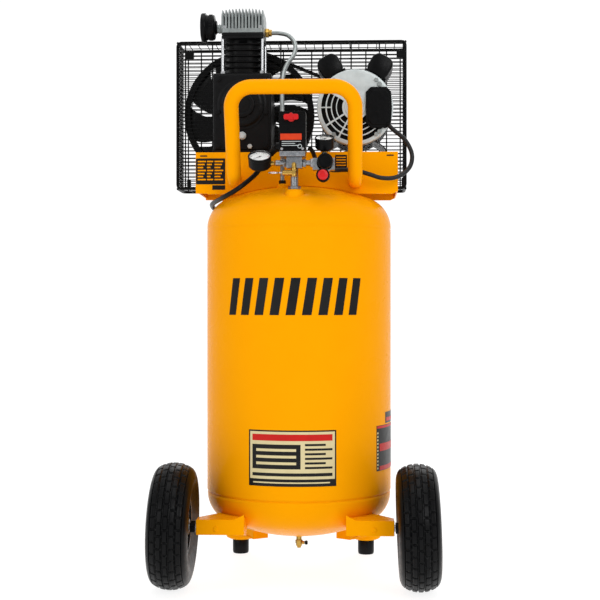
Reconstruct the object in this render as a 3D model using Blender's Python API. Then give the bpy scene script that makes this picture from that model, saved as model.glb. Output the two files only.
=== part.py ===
"""Vertical tank air compressor: an upright receiver on two pneumatic wheels and two rubber feet,
a deck welded over its dome, a belt-driven single-cylinder pump and a motor on the deck, a wire belt
guard, a bent tube handle, and the pressure switch, regulator and gauges on a pipe from the tank.

Metres. +Z is up, -Y is the front (the handle's side) and +X is on the right of someone facing it.
The origin is on the floor under the centre of the machine.
"""
import math

import bmesh
import bpy
from mathutils import Matrix, Vector

GAP = 0.0003                 # clearance between pieces that touch

# Receiver
AXIS_Y = 0.016               # the tank's axis stands this far behind the origin
TANK_R = 0.2032
TANK_WALL = 0.003
KNUCKLE_R = 0.070            # corner radius of both dished heads
BOTTOM_Z = 0.087             # lowest point of the bottom head
BOTTOM_SEAM_Z = 0.187
TOP_SEAM_Z = 0.764
TOP_Z = 0.857
TANK_STEPS = 28
PORT_X = -0.003              # outlet port on the dome, and the pipe that stands in it
PORT_Y = AXIS_Y - 0.152
PORT_R = 0.0085
DRAIN_R = 0.0065

# Running gear
WHEEL_X = 0.2565
WHEEL_Y = AXIS_Y - 0.180
TYRE_R = 0.1326
TYRE_HALF = 0.0435
TYRE_BEAD_R = 0.052
CAMBER = math.radians(2.0)
AXLE_R = 0.0079
BRACKET_IN_X = 0.105
BRACKET_OUT_X = 0.2065
BRACKET_FRONT = AXIS_Y - 0.198
BRACKET_Z = (0.1165, 0.1485)
SHEET = 0.003                # gauge of the folded brackets and the deck
FOOT_X = 0.150
FOOT_Y = AXIS_Y + 0.235
FOOT_R = 0.0193
PAD_Z = (0.026, 0.052)

# Deck and handle
DECK_X = (-0.2247, 0.2180)
DECK_Y = (AXIS_Y - 0.050, AXIS_Y + 0.150)
DECK_TOP = 0.9295
DECK_BOTTOM = 0.8375
TUBE_R = 0.0156
HANDLE_X = -0.005
HANDLE_HALF = 0.1300
HANDLE_TOP_Z = 1.0505
HANDLE_FOOT_Z = 0.8640
HANDLE_FOOT_Y = AXIS_Y - 0.105
HANDLE_TOP_Y = AXIS_Y - 0.190

# Pump
PUMP_X = -0.1262
PUMP_Y = AXIS_Y + 0.050
CRANK_Z = 1.0425
CASE_HALF_X = 0.0655
CASE_Y = (AXIS_Y - 0.008, AXIS_Y + 0.112)
CASE_TOP = 1.1100
BARREL_TOP = 1.1885
PLATE_TOP = 1.2015
HEAD_TOP = 1.2450
FIN_TOP = 1.2570
BORE_R = 0.0325
CYL_HALF = 0.0456
STROKE_R = 0.022
FLY_R = 0.1540
FLY_Y = AXIS_Y + 0.200       # plane of the belt
FLY_BLADES = 9

# Motor
MOTOR_X = 0.1246
MOTOR_Z = 1.0295
MOTOR_R = 0.0840
MOTOR_Y = (AXIS_Y - 0.030, AXIS_Y + 0.158)
PULLEY_R = 0.0690
GROOVE_DEPTH = 0.0085
BELT_HALF = 0.0065

# Guard
GUARD_X = (-0.2970, 0.2450)
GUARD_Z = (0.8650, 1.2150)
GUARD_Y = (AXIS_Y + 0.165, AXIS_Y + 0.2806)

# Controls, on the pipe that stands in the outlet port
SWITCH_X = (-0.0339, 0.0217)
SWITCH_Y = (PORT_Y - 0.033, PORT_Y + 0.027)
SWITCH_Z = (0.9065, 1.0001)
MANIFOLD_Z = (0.8835, 0.9062)
GAUGE_TILT = math.radians(56.0)
GAUGE_R = 0.0249
GAUGE_LONG = 0.028
GAUGE_FACE = (-0.0760, PORT_Y - 0.010, 0.9110)
SMALL_TILT = math.radians(65.0)
SMALL_R = 0.0205
SMALL_LONG = 0.026
SMALL_FACE = (0.0605, PORT_Y - 0.003, 0.9490)
REG_X = 0.0625
COUPLER_X = 0.0585
COUPLER_Z = 0.8645

# Power cord: from the switch over the dome's shoulder, down behind the tank to a hank behind a wheel
CORD_R = 0.0052
CORD_POINT_STEP = 0.0270
CORD_EXIT = (-0.0410, -0.1195, 0.9310)
CORD_WAY = (-0.62, 0.42, -0.66)
RELIEF_LONG = 0.022
CORD_ROUTE = [
    (-0.0732, -0.0977, 0.8967), (-0.0850, -0.0955, 0.8790), (-0.1040, -0.1050, 0.8600),
    (-0.1280, -0.1190, 0.8400), (-0.1580, -0.0940, 0.8262), (-0.1860, -0.0300, 0.8185),
    (-0.1935, 0.0200, 0.8150), (-0.1905, 0.0660, 0.8070), (-0.1925, 0.0900, 0.7885),
    (-0.1892, 0.1060, 0.7640), (-0.1795, 0.1250, 0.7200), (-0.1700, 0.1560, 0.6400),
    (-0.1655, 0.1860, 0.5200), (-0.1645, 0.2130, 0.3900), (-0.1650, 0.2360, 0.2800),
    (-0.1665, 0.2570, 0.1950), (-0.1740, 0.2720, 0.1300), (-0.1900, 0.2810, 0.0880),
    (-0.2130, 0.2840, 0.0660), (-0.2400, 0.2800, 0.0560), (-0.2650, 0.2640, 0.0440),
    (-0.2790, 0.2380, 0.0250), (-0.2780, 0.2080, 0.0105), (-0.2720, 0.1752, 0.0056),
]
HANK_X = -0.3040
HANK_Y = (0.0200, 0.1800)
HANK_BEND_R = 0.0320
HANK_LAYERS = 2
PLUG_Y = 0.2000

# Motor lead: a loop that both ends of are clamped in
LEAD_R = 0.0048
LEAD_ROUTE = [
    (0.1995, -0.0198, 0.9875), (0.2100, -0.0220, 0.9770), (0.2330, -0.0280, 0.9560),
    (0.2475, -0.0340, 0.9270), (0.2460, -0.0420, 0.9010), (0.2317, -0.0520, 0.8815),
    (0.2080, -0.0580, 0.8700), (0.1800, -0.0610, 0.8700), (0.1560, -0.0615, 0.8775),
    (0.1250, -0.0620, 0.8862), (0.1000, -0.0630, 0.8872), (0.0760, -0.0720, 0.8860),
    (0.0510, -0.0860, 0.8920), (0.0400, -0.1000, 0.9080), (0.0345, -0.1110, 0.9220),
    (0.0272, -0.1170, 0.9290),
]

FINISHES = {
    "yellow_paint": ((0.98, 0.47, 0.010), 0.32, 0.0),
    "black_paint": ((0.012, 0.012, 0.014), 0.45, 0.0),
    "cast_iron": ((0.020, 0.020, 0.022), 0.60, 0.2),
    "aluminium": ((0.62, 0.64, 0.64), 0.42, 0.9),
    "bell_aluminium": ((0.68, 0.70, 0.70), 0.50, 0.7),
    "zinc": ((0.55, 0.57, 0.60), 0.30, 0.9),
    "brass": ((0.75, 0.53, 0.18), 0.28, 0.9),
    "steel": ((0.60, 0.61, 0.62), 0.28, 1.0),
    "tyre_rubber": ((0.018, 0.018, 0.019), 0.80, 0.0),
    "rubber": ((0.015, 0.015, 0.016), 0.65, 0.0),
    "black_plastic": ((0.014, 0.014, 0.015), 0.38, 0.0),
    "red_plastic": ((0.75, 0.015, 0.015), 0.30, 0.0),
}


def material(finish):
    """The named finish as a Principled material, made once."""
    if finish in bpy.data.materials:
        return bpy.data.materials[finish]
    colour, rough, metal = FINISHES[finish]
    made = bpy.data.materials.new(finish)
    made.use_nodes = True
    shader = made.node_tree.nodes["Principled BSDF"]
    shader.inputs["Base Color"].default_value = (*colour, 1.0)
    shader.inputs["Roughness"].default_value = rough
    shader.inputs["Metallic"].default_value = metal
    made.diffuse_color = (*colour, 1.0)
    return made


def mesh_object(name, bm, finish, place=None):
    """Put a bmesh into a new object, its faces turned outwards and its round sides smooth."""
    bmesh.ops.remove_doubles(bm, verts=bm.verts, dist=1e-6)
    bmesh.ops.recalc_face_normals(bm, faces=bm.faces)
    mesh = bpy.data.meshes.new(name)
    bm.to_mesh(mesh)
    bm.free()
    mesh.shade_smooth()
    mesh.set_sharp_from_angle(angle=math.radians(35))
    mesh.materials.append(material(finish))
    made = bpy.data.objects.new(name, mesh)
    bpy.context.scene.collection.objects.link(made)
    if place is not None:
        made.matrix_world = place
    return made


def axis_frame(at, direction=(0, 0, 1)):
    """A placing whose origin is at a point and whose Z runs along a direction."""
    turn = Vector(direction).to_track_quat("Z", "Y").to_matrix().to_4x4()
    return Matrix.Translation(at) @ turn


def guide(made):
    """Mark an object as a cutter or a part to join, which is not a piece itself."""
    made.hide_render = True
    made.display_type = "WIRE"
    return made


def boolean(target, operation, others):
    """Cut other solids out of a solid, or join them to it."""
    for other in others:
        change = target.modifiers.new(operation.lower(), "BOOLEAN")
        change.operation = operation
        change.object = guide(other)
    return target


def cut(target, *cutters):
    return boolean(target, "DIFFERENCE", cutters)


def join(target, *others):
    return boolean(target, "UNION", others)


def soften(target, width, segments=2, angle=35):
    """Round the sharp edges of a solid."""
    bevel = target.modifiers.new("edges", "BEVEL")
    bevel.width = width
    bevel.segments = segments
    bevel.limit_method = "ANGLE"
    bevel.angle_limit = math.radians(angle)
    return target


def turned(name, profile, finish, at=(0, 0, 0), direction=(0, 0, 1), steps=24):
    """A turned solid: profile is (radius, height) round its section, and an end at radius 0 closes it."""
    bm = bmesh.new()
    verts = [bm.verts.new((r, 0, h)) for r, h in profile]
    edges = [bm.edges.new(pair) for pair in zip(verts, verts[1:])]
    if profile[0][0] > 0 or profile[-1][0] > 0:
        edges.append(bm.edges.new((verts[-1], verts[0])))
    bmesh.ops.spin(bm, geom=verts + edges, cent=(0, 0, 0), axis=(0, 0, 1),
                   angle=math.tau, steps=steps, use_duplicate=False)
    return mesh_object(name, bm, finish, axis_frame(at, direction))


def rod(name, radius, length, finish, at, direction=(0, 0, 1), steps=16, start=0.0):
    """A plain round bar from a point, along a direction."""
    profile = [(0, start), (radius, start), (radius, start + length), (0, start + length)]
    return turned(name, profile, finish, at, direction, steps)


def hexagon(name, radius, length, finish, at, direction=(0, 0, 1)):
    """A nut or a bolt's head, radius across its corners."""
    return rod(name, radius, length, finish, at, direction, steps=6)


def block(name, low, high, finish):
    """A box between two corners."""
    bm = bmesh.new()
    bmesh.ops.create_cube(bm, size=1.0)
    size = [b - a for a, b in zip(low, high)]
    middle = [(a + b) / 2 for a, b in zip(low, high)]
    bmesh.ops.scale(bm, vec=size, verts=bm.verts)
    bmesh.ops.translate(bm, vec=middle, verts=bm.verts)
    return mesh_object(name, bm, finish)


def prism(name, outline, low, high, finish, place=None):
    """A flat outline in X and Y, extruded from one height to another."""
    bm = bmesh.new()
    face = bm.faces.new([bm.verts.new((x, y, low)) for x, y in outline])
    moved = bmesh.ops.extrude_face_region(bm, geom=[face])["geom"]
    bmesh.ops.translate(bm, vec=(0, 0, high - low),
                        verts=[v for v in moved if isinstance(v, bmesh.types.BMVert)])
    return mesh_object(name, bm, finish, place)


def lofted(name, rings, finish, place=None, closed=False):
    """A skin over rings of equally many points, closed into a loop or capped at both ends."""
    bm = bmesh.new()
    rows = [[bm.verts.new(p) for p in ring] for ring in rings]
    pairs = list(zip(rows, rows[1:]))
    if closed:
        pairs.append((rows[-1], rows[0]))
    for lower, upper in pairs:
        for i in range(len(lower)):
            j = (i + 1) % len(lower)
            bm.faces.new((lower[i], lower[j], upper[j], upper[i]))
    if not closed:
        bm.faces.new(rows[0])
        bm.faces.new(rows[-1])
    return mesh_object(name, bm, finish, place)


def cells(name, edges, solid, finish, place=None, at=lambda u, v, w: (u, v, w), wrap=False):
    """A solid of grid cells: solid(i, j, k) says which are filled, and at() places the grid's corners."""
    bm = bmesh.new()
    counts = [len(e) - 1 for e in edges]
    made = {}

    def corner(i, j, k):
        key = (i % counts[0] if wrap else i, j, k)
        if key not in made:
            made[key] = bm.verts.new(at(edges[0][key[0]], edges[1][j], edges[2][k]))
        return made[key]

    def filled(i, j, k):
        if wrap:
            i %= counts[0]
        inside = 0 <= i < counts[0] and 0 <= j < counts[1] and 0 <= k < counts[2]
        return inside and solid(i, j, k)

    steps = [(1, 0, 0), (0, 1, 0), (0, 0, 1)]
    for i in range(counts[0]):
        for j in range(counts[1]):
            for k in range(counts[2]):
                if not filled(i, j, k):
                    continue
                for n, (a, b, c) in enumerate(steps):
                    p, q = steps[(n + 1) % 3], steps[(n + 2) % 3]
                    for side in (0, 1):
                        move = 1 if side else -1
                        if filled(i + a * move, j + b * move, k + c * move):
                            continue
                        base = (i + a * side, j + b * side, k + c * side)
                        quad = [
                            corner(base[0] + s * p[0] + t * q[0], base[1] + s * p[1] + t * q[1],
                                   base[2] + s * p[2] + t * q[2])
                            for s, t in ((0, 0), (1, 0), (1, 1), (0, 1))
                        ]
                        bm.faces.new(quad)
    return mesh_object(name, bm, finish, place)


def bars(low, high, count, width):
    """Edges of a row of bars: count gaps between count + 1 bars of one width."""
    pitch = (high - low - width) / count
    return [e for n in range(count + 1) for e in (low + n * pitch, low + n * pitch + width)]


def rounded_square(half, radius, z, points_a_corner=4, half_y=None):
    """A ring of points round a square with round corners."""
    half_y = half if half_y is None else half_y
    ring = []
    for quarter in range(4):
        sx = (1, -1, -1, 1)[quarter]
        sy = (1, 1, -1, -1)[quarter]
        for n in range(points_a_corner):
            turn = math.pi / 2 * (quarter + n / (points_a_corner - 1))
            ring.append((sx * (half - radius) + radius * math.cos(turn),
                         sy * (half_y - radius) + radius * math.sin(turn), z))
    return ring


def ring_of(radius, z, count):
    """A ring of points that line up with those of a rounded square."""
    ring = []
    for quarter in range(4):
        for n in range(count // 4):
            spread = n / (count // 4 - 1) * 0.75 + 0.125
            turn = math.pi / 2 * (quarter + spread)
            ring.append((radius * math.cos(turn), radius * math.sin(turn), z))
    return ring


def filleted(corners, radii, steps=6):
    """A path through corners, each inner corner rounded by an arc of its radius."""
    points = [Vector(corners[0])]
    for before, here, after, radius in zip(corners, corners[1:], corners[2:], radii):
        back = (Vector(before) - Vector(here)).normalized()
        on = (Vector(after) - Vector(here)).normalized()
        half = back.angle(on) / 2
        reach = radius / math.tan(half)
        centre = Vector(here) + (back + on).normalized() * radius / math.sin(half)
        start = Vector(here) + back * reach - centre
        end = Vector(here) + on * reach - centre
        sweep = start.angle(end)
        for n in range(steps + 1):
            share = n / steps
            points.append(centre + (start * math.sin((1 - share) * sweep)
                                    + end * math.sin(share * sweep)) / math.sin(sweep))
    points.append(Vector(corners[-1]))
    return points


def smooth_path(route, step):
    """Points a step apart on a Catmull-Rom curve through the route."""
    route = [Vector(p) for p in route]
    route = [2 * route[0] - route[1]] + route + [2 * route[-1] - route[-2]]
    fine = []
    for a, b, c, d in zip(route, route[1:], route[2:], route[3:]):
        for n in range(20):
            t = n / 20
            fine.append(0.5 * (2 * b + (c - a) * t + (2 * a - 5 * b + 4 * c - d) * t * t
                               + (3 * b - a - 3 * c + d) * t * t * t))
    fine.append(route[-2])
    lengths = [0.0]
    for a, b in zip(fine, fine[1:]):
        lengths.append(lengths[-1] + (b - a).length)
    count = max(2, round(lengths[-1] / step))
    points, at = [], 0
    for n in range(count + 1):
        want = lengths[-1] * n / count
        while at < len(fine) - 2 and lengths[at + 1] < want:
            at += 1
        share = (want - lengths[at]) / (lengths[at + 1] - lengths[at])
        points.append(fine[at].lerp(fine[at + 1], share))
    return points


def cord(name, points, radius, finish, resolution=2):
    """A round cord or tube along points, with closed ends."""
    curve = bpy.data.curves.new(name, "CURVE")
    curve.dimensions = "3D"
    curve.bevel_depth = radius
    curve.bevel_resolution = resolution
    curve.use_fill_caps = True
    spline = curve.splines.new("POLY")
    spline.points.add(len(points) - 1)
    for point, place in zip(spline.points, points):
        point.co = (*place, 1.0)
    curve.materials.append(material(finish))
    made = bpy.data.objects.new(name, curve)
    bpy.context.scene.collection.objects.link(made)
    return made


def swept(name, points, radius, finish, sides=12):
    """A round bar along points, as a mesh that others can be joined to."""
    points = [Vector(p) for p in points]
    rings, across = [], None
    for n, here in enumerate(points):
        along = (points[min(n + 1, len(points) - 1)] - points[max(n - 1, 0)]).normalized()
        if across is None:
            across = along.orthogonal().normalized()
        across = (across - along * across.dot(along)).normalized()
        other = along.cross(across)
        rings.append([here + radius * (across * math.cos(math.tau * s / sides)
                                       + other * math.sin(math.tau * s / sides))
                      for s in range(sides)])
    return lofted(name, rings, finish)


def head_curve(depth, radius=TANK_R, steps=(4, 3)):
    """A dished head from its edge to its middle: a knuckle arc, then the crown's arc that it meets."""
    side = radius - KNUCKLE_R
    crown = (side ** 2 + depth ** 2 - KNUCKLE_R ** 2) / (2 * (depth - KNUCKLE_R))
    meet = math.atan2(crown - depth, side)
    points = [(side + KNUCKLE_R * math.cos(meet * n / steps[0]), KNUCKLE_R * math.sin(meet * n / steps[0]))
              for n in range(steps[0] + 1)]
    for n in range(1, steps[1]):
        angle = meet + (math.pi / 2 - meet) * n / steps[1]
        points.append((crown * math.cos(angle), depth - crown + crown * math.sin(angle)))
    return points + [(0.0, depth)]


def head_height(depth, r):
    """Height of a dished head over its edge, at a radius from its middle."""
    curve = head_curve(depth, steps=(40, 40))
    for (r1, h1), (r2, h2) in zip(curve, curve[1:]):
        if r2 <= r <= r1:
            return h1 + (h2 - h1) * (r1 - r) / (r1 - r2)
    return 0.0


def tank_profile(grow=0.0, steps=(4, 3)):
    """The tank's outside from its bottom to its top, pushed out by a distance."""
    bottom = [(r + (grow if r else 0.0), BOTTOM_SEAM_Z - h - grow)
              for r, h in reversed(head_curve(BOTTOM_SEAM_Z - BOTTOM_Z, steps=steps))]
    top = [(r + (grow if r else 0.0), TOP_SEAM_Z + h + grow)
           for r, h in head_curve(TOP_Z - TOP_SEAM_Z, steps=steps)]
    return bottom + top


def tank_cutter(grow=GAP + 0.0002):
    """The tank's own outside, a little larger, for cutting what rests on it."""
    return turned("tank_cutter", tank_profile(grow), "steel", (0, AXIS_Y, 0), steps=TANK_STEPS)


def make_tank():
    """The receiver: a shell with an outlet port in its dome and a drain port at the bottom."""
    outside = tank_profile()
    inside = list(reversed(tank_profile(-TANK_WALL, (2, 2))))
    outside[0] = (DRAIN_R, outside[0][1])
    inside[-1] = (DRAIN_R, inside[-1][1])
    tank = turned("air_tank", outside + inside, "yellow_paint", (0, AXIS_Y, 0), steps=TANK_STEPS)
    port = (PORT_X, PORT_Y, 0)
    crown = TOP_SEAM_Z + head_height(TOP_Z - TOP_SEAM_Z, abs(PORT_Y - AXIS_Y))
    join(tank, rod("port_boss", 0.018, 0.018, "yellow_paint", port, start=crown - 0.012, steps=24))
    cut(tank, rod("port_bore", PORT_R + 0.0008, 0.06, "steel", port, start=crown - 0.03, steps=24))
    valve = turned("drain_valve", [
        (0, 0.0560), (0.0045, 0.0560), (0.0050, 0.0600), (0.0068, 0.0605), (0.0068, 0.0740),
        (DRAIN_R - GAP - 0.0001, 0.0745), (DRAIN_R - GAP - 0.0001, 0.0960), (0, 0.0960),
    ], "brass", (0, AXIS_Y, 0), steps=16)
    join(valve, rod("drain_spigot", 0.0036, 0.0125, "brass", (0, AXIS_Y, 0.0672), (1, 0, 0), 12))
    key = rod("drain_handle", 0.0042, 0.0065, "black_plastic", (0.0129, AXIS_Y, 0.0672), (1, 0, 0), 12)
    join(key, block("drain_wing", (0.0150, AXIS_Y - 0.0100, 0.0642), (0.0180, AXIS_Y + 0.0100, 0.0702),
                    "black_plastic"))


def make_brackets():
    """On each side: the wheel's folded bracket, its axle bolt, tyre and rim, and the rear foot."""
    for side, sign in (("left", -1), ("right", 1)):
        outline = [
            (sign * BRACKET_IN_X, BRACKET_FRONT), (sign * BRACKET_OUT_X, BRACKET_FRONT),
            (sign * BRACKET_OUT_X, BRACKET_FRONT + 0.036), (sign * 0.160, AXIS_Y - 0.092),
            (sign * BRACKET_IN_X, AXIS_Y - 0.092),
        ]
        inset = [
            (sign * (BRACKET_IN_X + SHEET), BRACKET_FRONT + SHEET),
            (sign * (BRACKET_OUT_X - SHEET), BRACKET_FRONT + SHEET),
            (sign * (BRACKET_OUT_X - SHEET), BRACKET_FRONT + 0.034),
            (sign * 0.158, AXIS_Y - 0.095), (sign * (BRACKET_IN_X + SHEET), AXIS_Y - 0.095),
        ]
        bracket = prism(f"wheel_bracket_{side}", outline, *BRACKET_Z, "yellow_paint")
        hollow = prism("bracket_hollow", inset, BRACKET_Z[0] - 0.01, BRACKET_Z[1] - SHEET, "steel")
        axle = Vector((sign * math.cos(CAMBER), 0, math.sin(CAMBER)))
        centre = Vector((sign * WHEEL_X, WHEEL_Y, wheel_height()))
        bore = rod("axle_bore", AXLE_R + 0.0010, 0.030, "steel", centre - axle * 0.070, axle, 20)
        cut(bracket, hollow, tank_cutter(), bore)
        make_wheel(side, centre, axle)
        make_foot(side, sign)


def wheel_height():
    """Height of a wheel's middle: its tilted tread just reaches the floor."""
    return max(r * math.cos(CAMBER) + abs(x) * math.sin(CAMBER) for r, x in tread_outline())


def tread_outline(steps=3):
    """The tyre's outside from bead to bead, as (radius, offset along the axle): a fat round section."""
    middle = (TYRE_R + TYRE_BEAD_R) / 2 + 0.004
    tall = TYRE_R - middle
    points = []
    for n in range(2 * steps + 1):
        turn = math.pi * n / (2 * steps)
        points.append((middle + tall * math.sin(turn) ** 0.75, -TYRE_HALF * math.cos(turn)))
    return [(TYRE_BEAD_R, -0.026)] + points + [(TYRE_BEAD_R, 0.026)]


def make_wheel(side, centre, axle):
    """A pneumatic tyre open at its beads, a dished steel rim with a hub, and the bolt it turns on."""
    outside = tread_outline()
    wall = 0.008
    middle = (TYRE_R + TYRE_BEAD_R) / 2
    inside = []
    for r, x in reversed(outside[1:-1:2]):
        reach = math.hypot(r - middle, x)
        inside.append((r - (r - middle) * wall / reach, x - x * wall / reach))
    inside = [(TYRE_BEAD_R, 0.018)] + inside + [(TYRE_BEAD_R, -0.018)]
    turned(f"tyre_{side}", outside + inside, "tyre_rubber", centre, axle, 26)
    hub, lip, seat, well = 0.0165, 0.0600, TYRE_BEAD_R - 0.0012, 0.0465
    thick = 0.0024
    outer = [
        (hub, 0.034), (hub, 0.003), (well - thick, 0.003), (well - thick, 0.0130),
        (seat - thick, 0.0185), (seat - thick, 0.0290), (lip, 0.0322), (lip, 0.0300),
        (seat, 0.0268), (seat, 0.0172), (well, 0.0122),
    ]
    mirror = [(r, -x) for r, x in reversed(outer)]
    bore = AXLE_R + 0.0004
    profile = [(bore, 0.034)] + outer + mirror + [(bore, -0.034)]
    turned(f"wheel_rim_{side}", profile, "black_paint", centre, axle, 18)
    bolt = rod(f"axle_bolt_{side}", AXLE_R, 0.112, "steel", centre - axle * 0.072, axle, 20)
    join(bolt, hexagon("bolt_head", 0.0138, 0.0050, "steel", centre + axle * 0.0350, axle))
    join(bolt, hexagon("bolt_nut", 0.0119, 0.0080, "steel", centre - axle * 0.0690, axle))


def make_foot(side, sign):
    """A dished foot bracket under the tank's rear, and the rubber foot in it."""
    pad, reach = 0.036, 0.082
    heading = math.atan2(FOOT_Y - AXIS_Y - 0.020, sign * FOOT_X)

    def paddle(grow):
        """A round pad with a straight arm towards the tank's middle."""
        points = []
        for n in range(13):
            turn = heading - math.radians(100) + math.radians(200) * n / 12
            points.append((sign * FOOT_X + (pad - grow) * math.cos(turn),
                           FOOT_Y + (pad - grow) * math.sin(turn)))
        for way in (1, -1):
            points.append((sign * FOOT_X - (reach - grow) * math.cos(heading)
                           - way * (0.028 - grow) * math.sin(heading),
                           FOOT_Y - (reach - grow) * math.sin(heading)
                           + way * (0.028 - grow) * math.cos(heading)))
        return points

    bracket = prism(f"foot_bracket_{side}", paddle(0.0), *PAD_Z, "yellow_paint")
    inner = Vector((sign * FOOT_X, FOOT_Y)) - 0.060 * Vector((math.cos(heading), math.sin(heading)))
    place = Matrix.Translation((inner.x, inner.y, 0)) @ Matrix.Rotation(heading, 4, "Z")
    riser = prism("foot_riser", [(-0.034, -0.024), (0.004, -0.024), (0.004, 0.024), (-0.034, 0.024)],
                  PAD_Z[0] + 0.004, 0.168, "yellow_paint", place)
    join(bracket, riser)
    cut(bracket, prism("foot_hollow", paddle(SHEET), PAD_Z[0] - 0.01, PAD_Z[1] - SHEET, "steel"),
        tank_cutter())
    top = PAD_Z[1] - SHEET - GAP
    turned(f"rubber_foot_{side}", [
        (0, 0), (FOOT_R - 0.0025, 0), (FOOT_R - 0.0008, 0.0012), (FOOT_R, 0.006), (FOOT_R, top), (0, top),
    ], "rubber", (sign * FOOT_X, FOOT_Y, 0), steps=24)


def make_deck():
    """The deck: a pan with folded sides that is welded over the dome, and the bent tube handle."""
    low = (DECK_X[0], DECK_Y[0], DECK_BOTTOM)
    high = (DECK_X[1], DECK_Y[1], DECK_TOP)
    deck = block("deck_plate", low, high, "yellow_paint")
    soften(deck, 0.004, 2)
    inner = block("deck_hollow", (low[0] + SHEET, low[1] + SHEET, low[2] - 0.02),
                  (high[0] - SHEET, high[1] - SHEET, high[2] - SHEET), "steel")
    step = block("deck_step", (low[0] - 0.01, low[1] - 0.01, low[2] - 0.01),
                 (-0.1985, high[1] + 0.01, 0.8392), "steel")
    corner = prism("deck_corner", [(0, 0), (0.020, 0), (0.020, 0.020)], -0.4, 0.4, "steel",
                   Matrix.Translation((high[0] - 0.012, 0, low[2] - 0.008))
                   @ Matrix.Rotation(math.radians(90), 4, "X"))
    cut(deck, inner, step, corner, tank_cutter())
    left, right = HANDLE_X - HANDLE_HALF, HANDLE_X + HANDLE_HALF
    ends_y = DECK_Y[0] - GAP
    path = filleted([
        (left, ends_y, HANDLE_FOOT_Z), (left, HANDLE_FOOT_Y, HANDLE_FOOT_Z),
        (left, HANDLE_TOP_Y, HANDLE_TOP_Z), (right, HANDLE_TOP_Y, HANDLE_TOP_Z),
        (right, HANDLE_FOOT_Y, HANDLE_FOOT_Z), (right, ends_y, HANDLE_FOOT_Z),
    ], [0.028, 0.045, 0.045, 0.028], 5)
    swept("handle_tube", path, TUBE_R, "yellow_paint", 10)


def make_pump():
    """The pump: crankcase and cover, finned cylinder, valve plate, head, and what turns inside."""
    low, high = (PUMP_X - CASE_HALF_X, CASE_Y[0], DECK_TOP + GAP), (PUMP_X + CASE_HALF_X, CASE_Y[1], CASE_TOP)
    case = block("crankcase", low, high, "cast_iron")
    soften(case, 0.008, 2)
    wall = 0.008
    room = block("crank_room", (low[0] + wall, low[1] - 0.02, low[2] + 0.012),
                 (high[0] - wall, high[1] - wall, high[2] - wall), "steel")
    mouth = rod("cylinder_mouth", BORE_R, 0.04, "steel", (PUMP_X, PUMP_Y, CASE_TOP - 0.02), steps=24)
    boss = rod("bearing_boss", 0.034, 0.030, "cast_iron", (PUMP_X, CASE_Y[1] - 0.006, CRANK_Z), (0, 1, 0), 24)
    bore = rod("bearing_bore", 0.0129, 0.08, "steel", (PUMP_X, CASE_Y[1] - 0.03, CRANK_Z), (0, 1, 0), 24)
    join(case, boss)
    cut(case, room, mouth, bore)
    face = CASE_Y[0] - GAP
    cover = block("crankcase_cover", (PUMP_X - 0.0600, face - 0.0060, 0.9400),
                  (PUMP_X + 0.0600, face, 1.1040), "cast_iron")
    join(cover, turned("cover_boss", [
        (0, 0.002), (0.0520, 0.002), (0.0500, 0.0090), (0.0420, 0.0140), (0.0240, 0.0160),
        (0.0180, 0.0120), (0, 0.0120),
    ], "cast_iron", (PUMP_X, face, CRANK_Z - 0.004), (0, -1, 0), 28))
    for x, z in ((-0.0520, 0.9480), (0.0520, 0.9480), (-0.0520, 1.0960), (0.0520, 1.0960)):
        join(cover, hexagon("cover_bolt", 0.0060, 0.0100, "steel", (PUMP_X + x, face, z), (0, -1, 0)))
    join(cover, hexagon("oil_filler", 0.0088, 0.0160, "steel", (PUMP_X - 0.001, face, 0.9700), (0, -1, 0)))
    make_cylinder()
    shaft = rod("crankshaft", 0.0125, 0.090, "steel", (PUMP_X, CASE_Y[1] - 0.032, CRANK_Z), (0, 1, 0), 20)
    for name, radius, length, y, z, steps in (
        ("shaft_nose", 0.0095, 0.034, 0.056, CRANK_Z, 20),
        ("crank_web", 0.0340, 0.010, -0.034, CRANK_Z, 24),
        ("crank_pin", 0.0080, 0.028, -0.060, CRANK_Z - STROKE_R, 16),
    ):
        join(shaft, rod(name, radius, length, "steel", (PUMP_X, CASE_Y[1] + y, z), (0, 1, 0), steps))
    make_flywheel()


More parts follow.
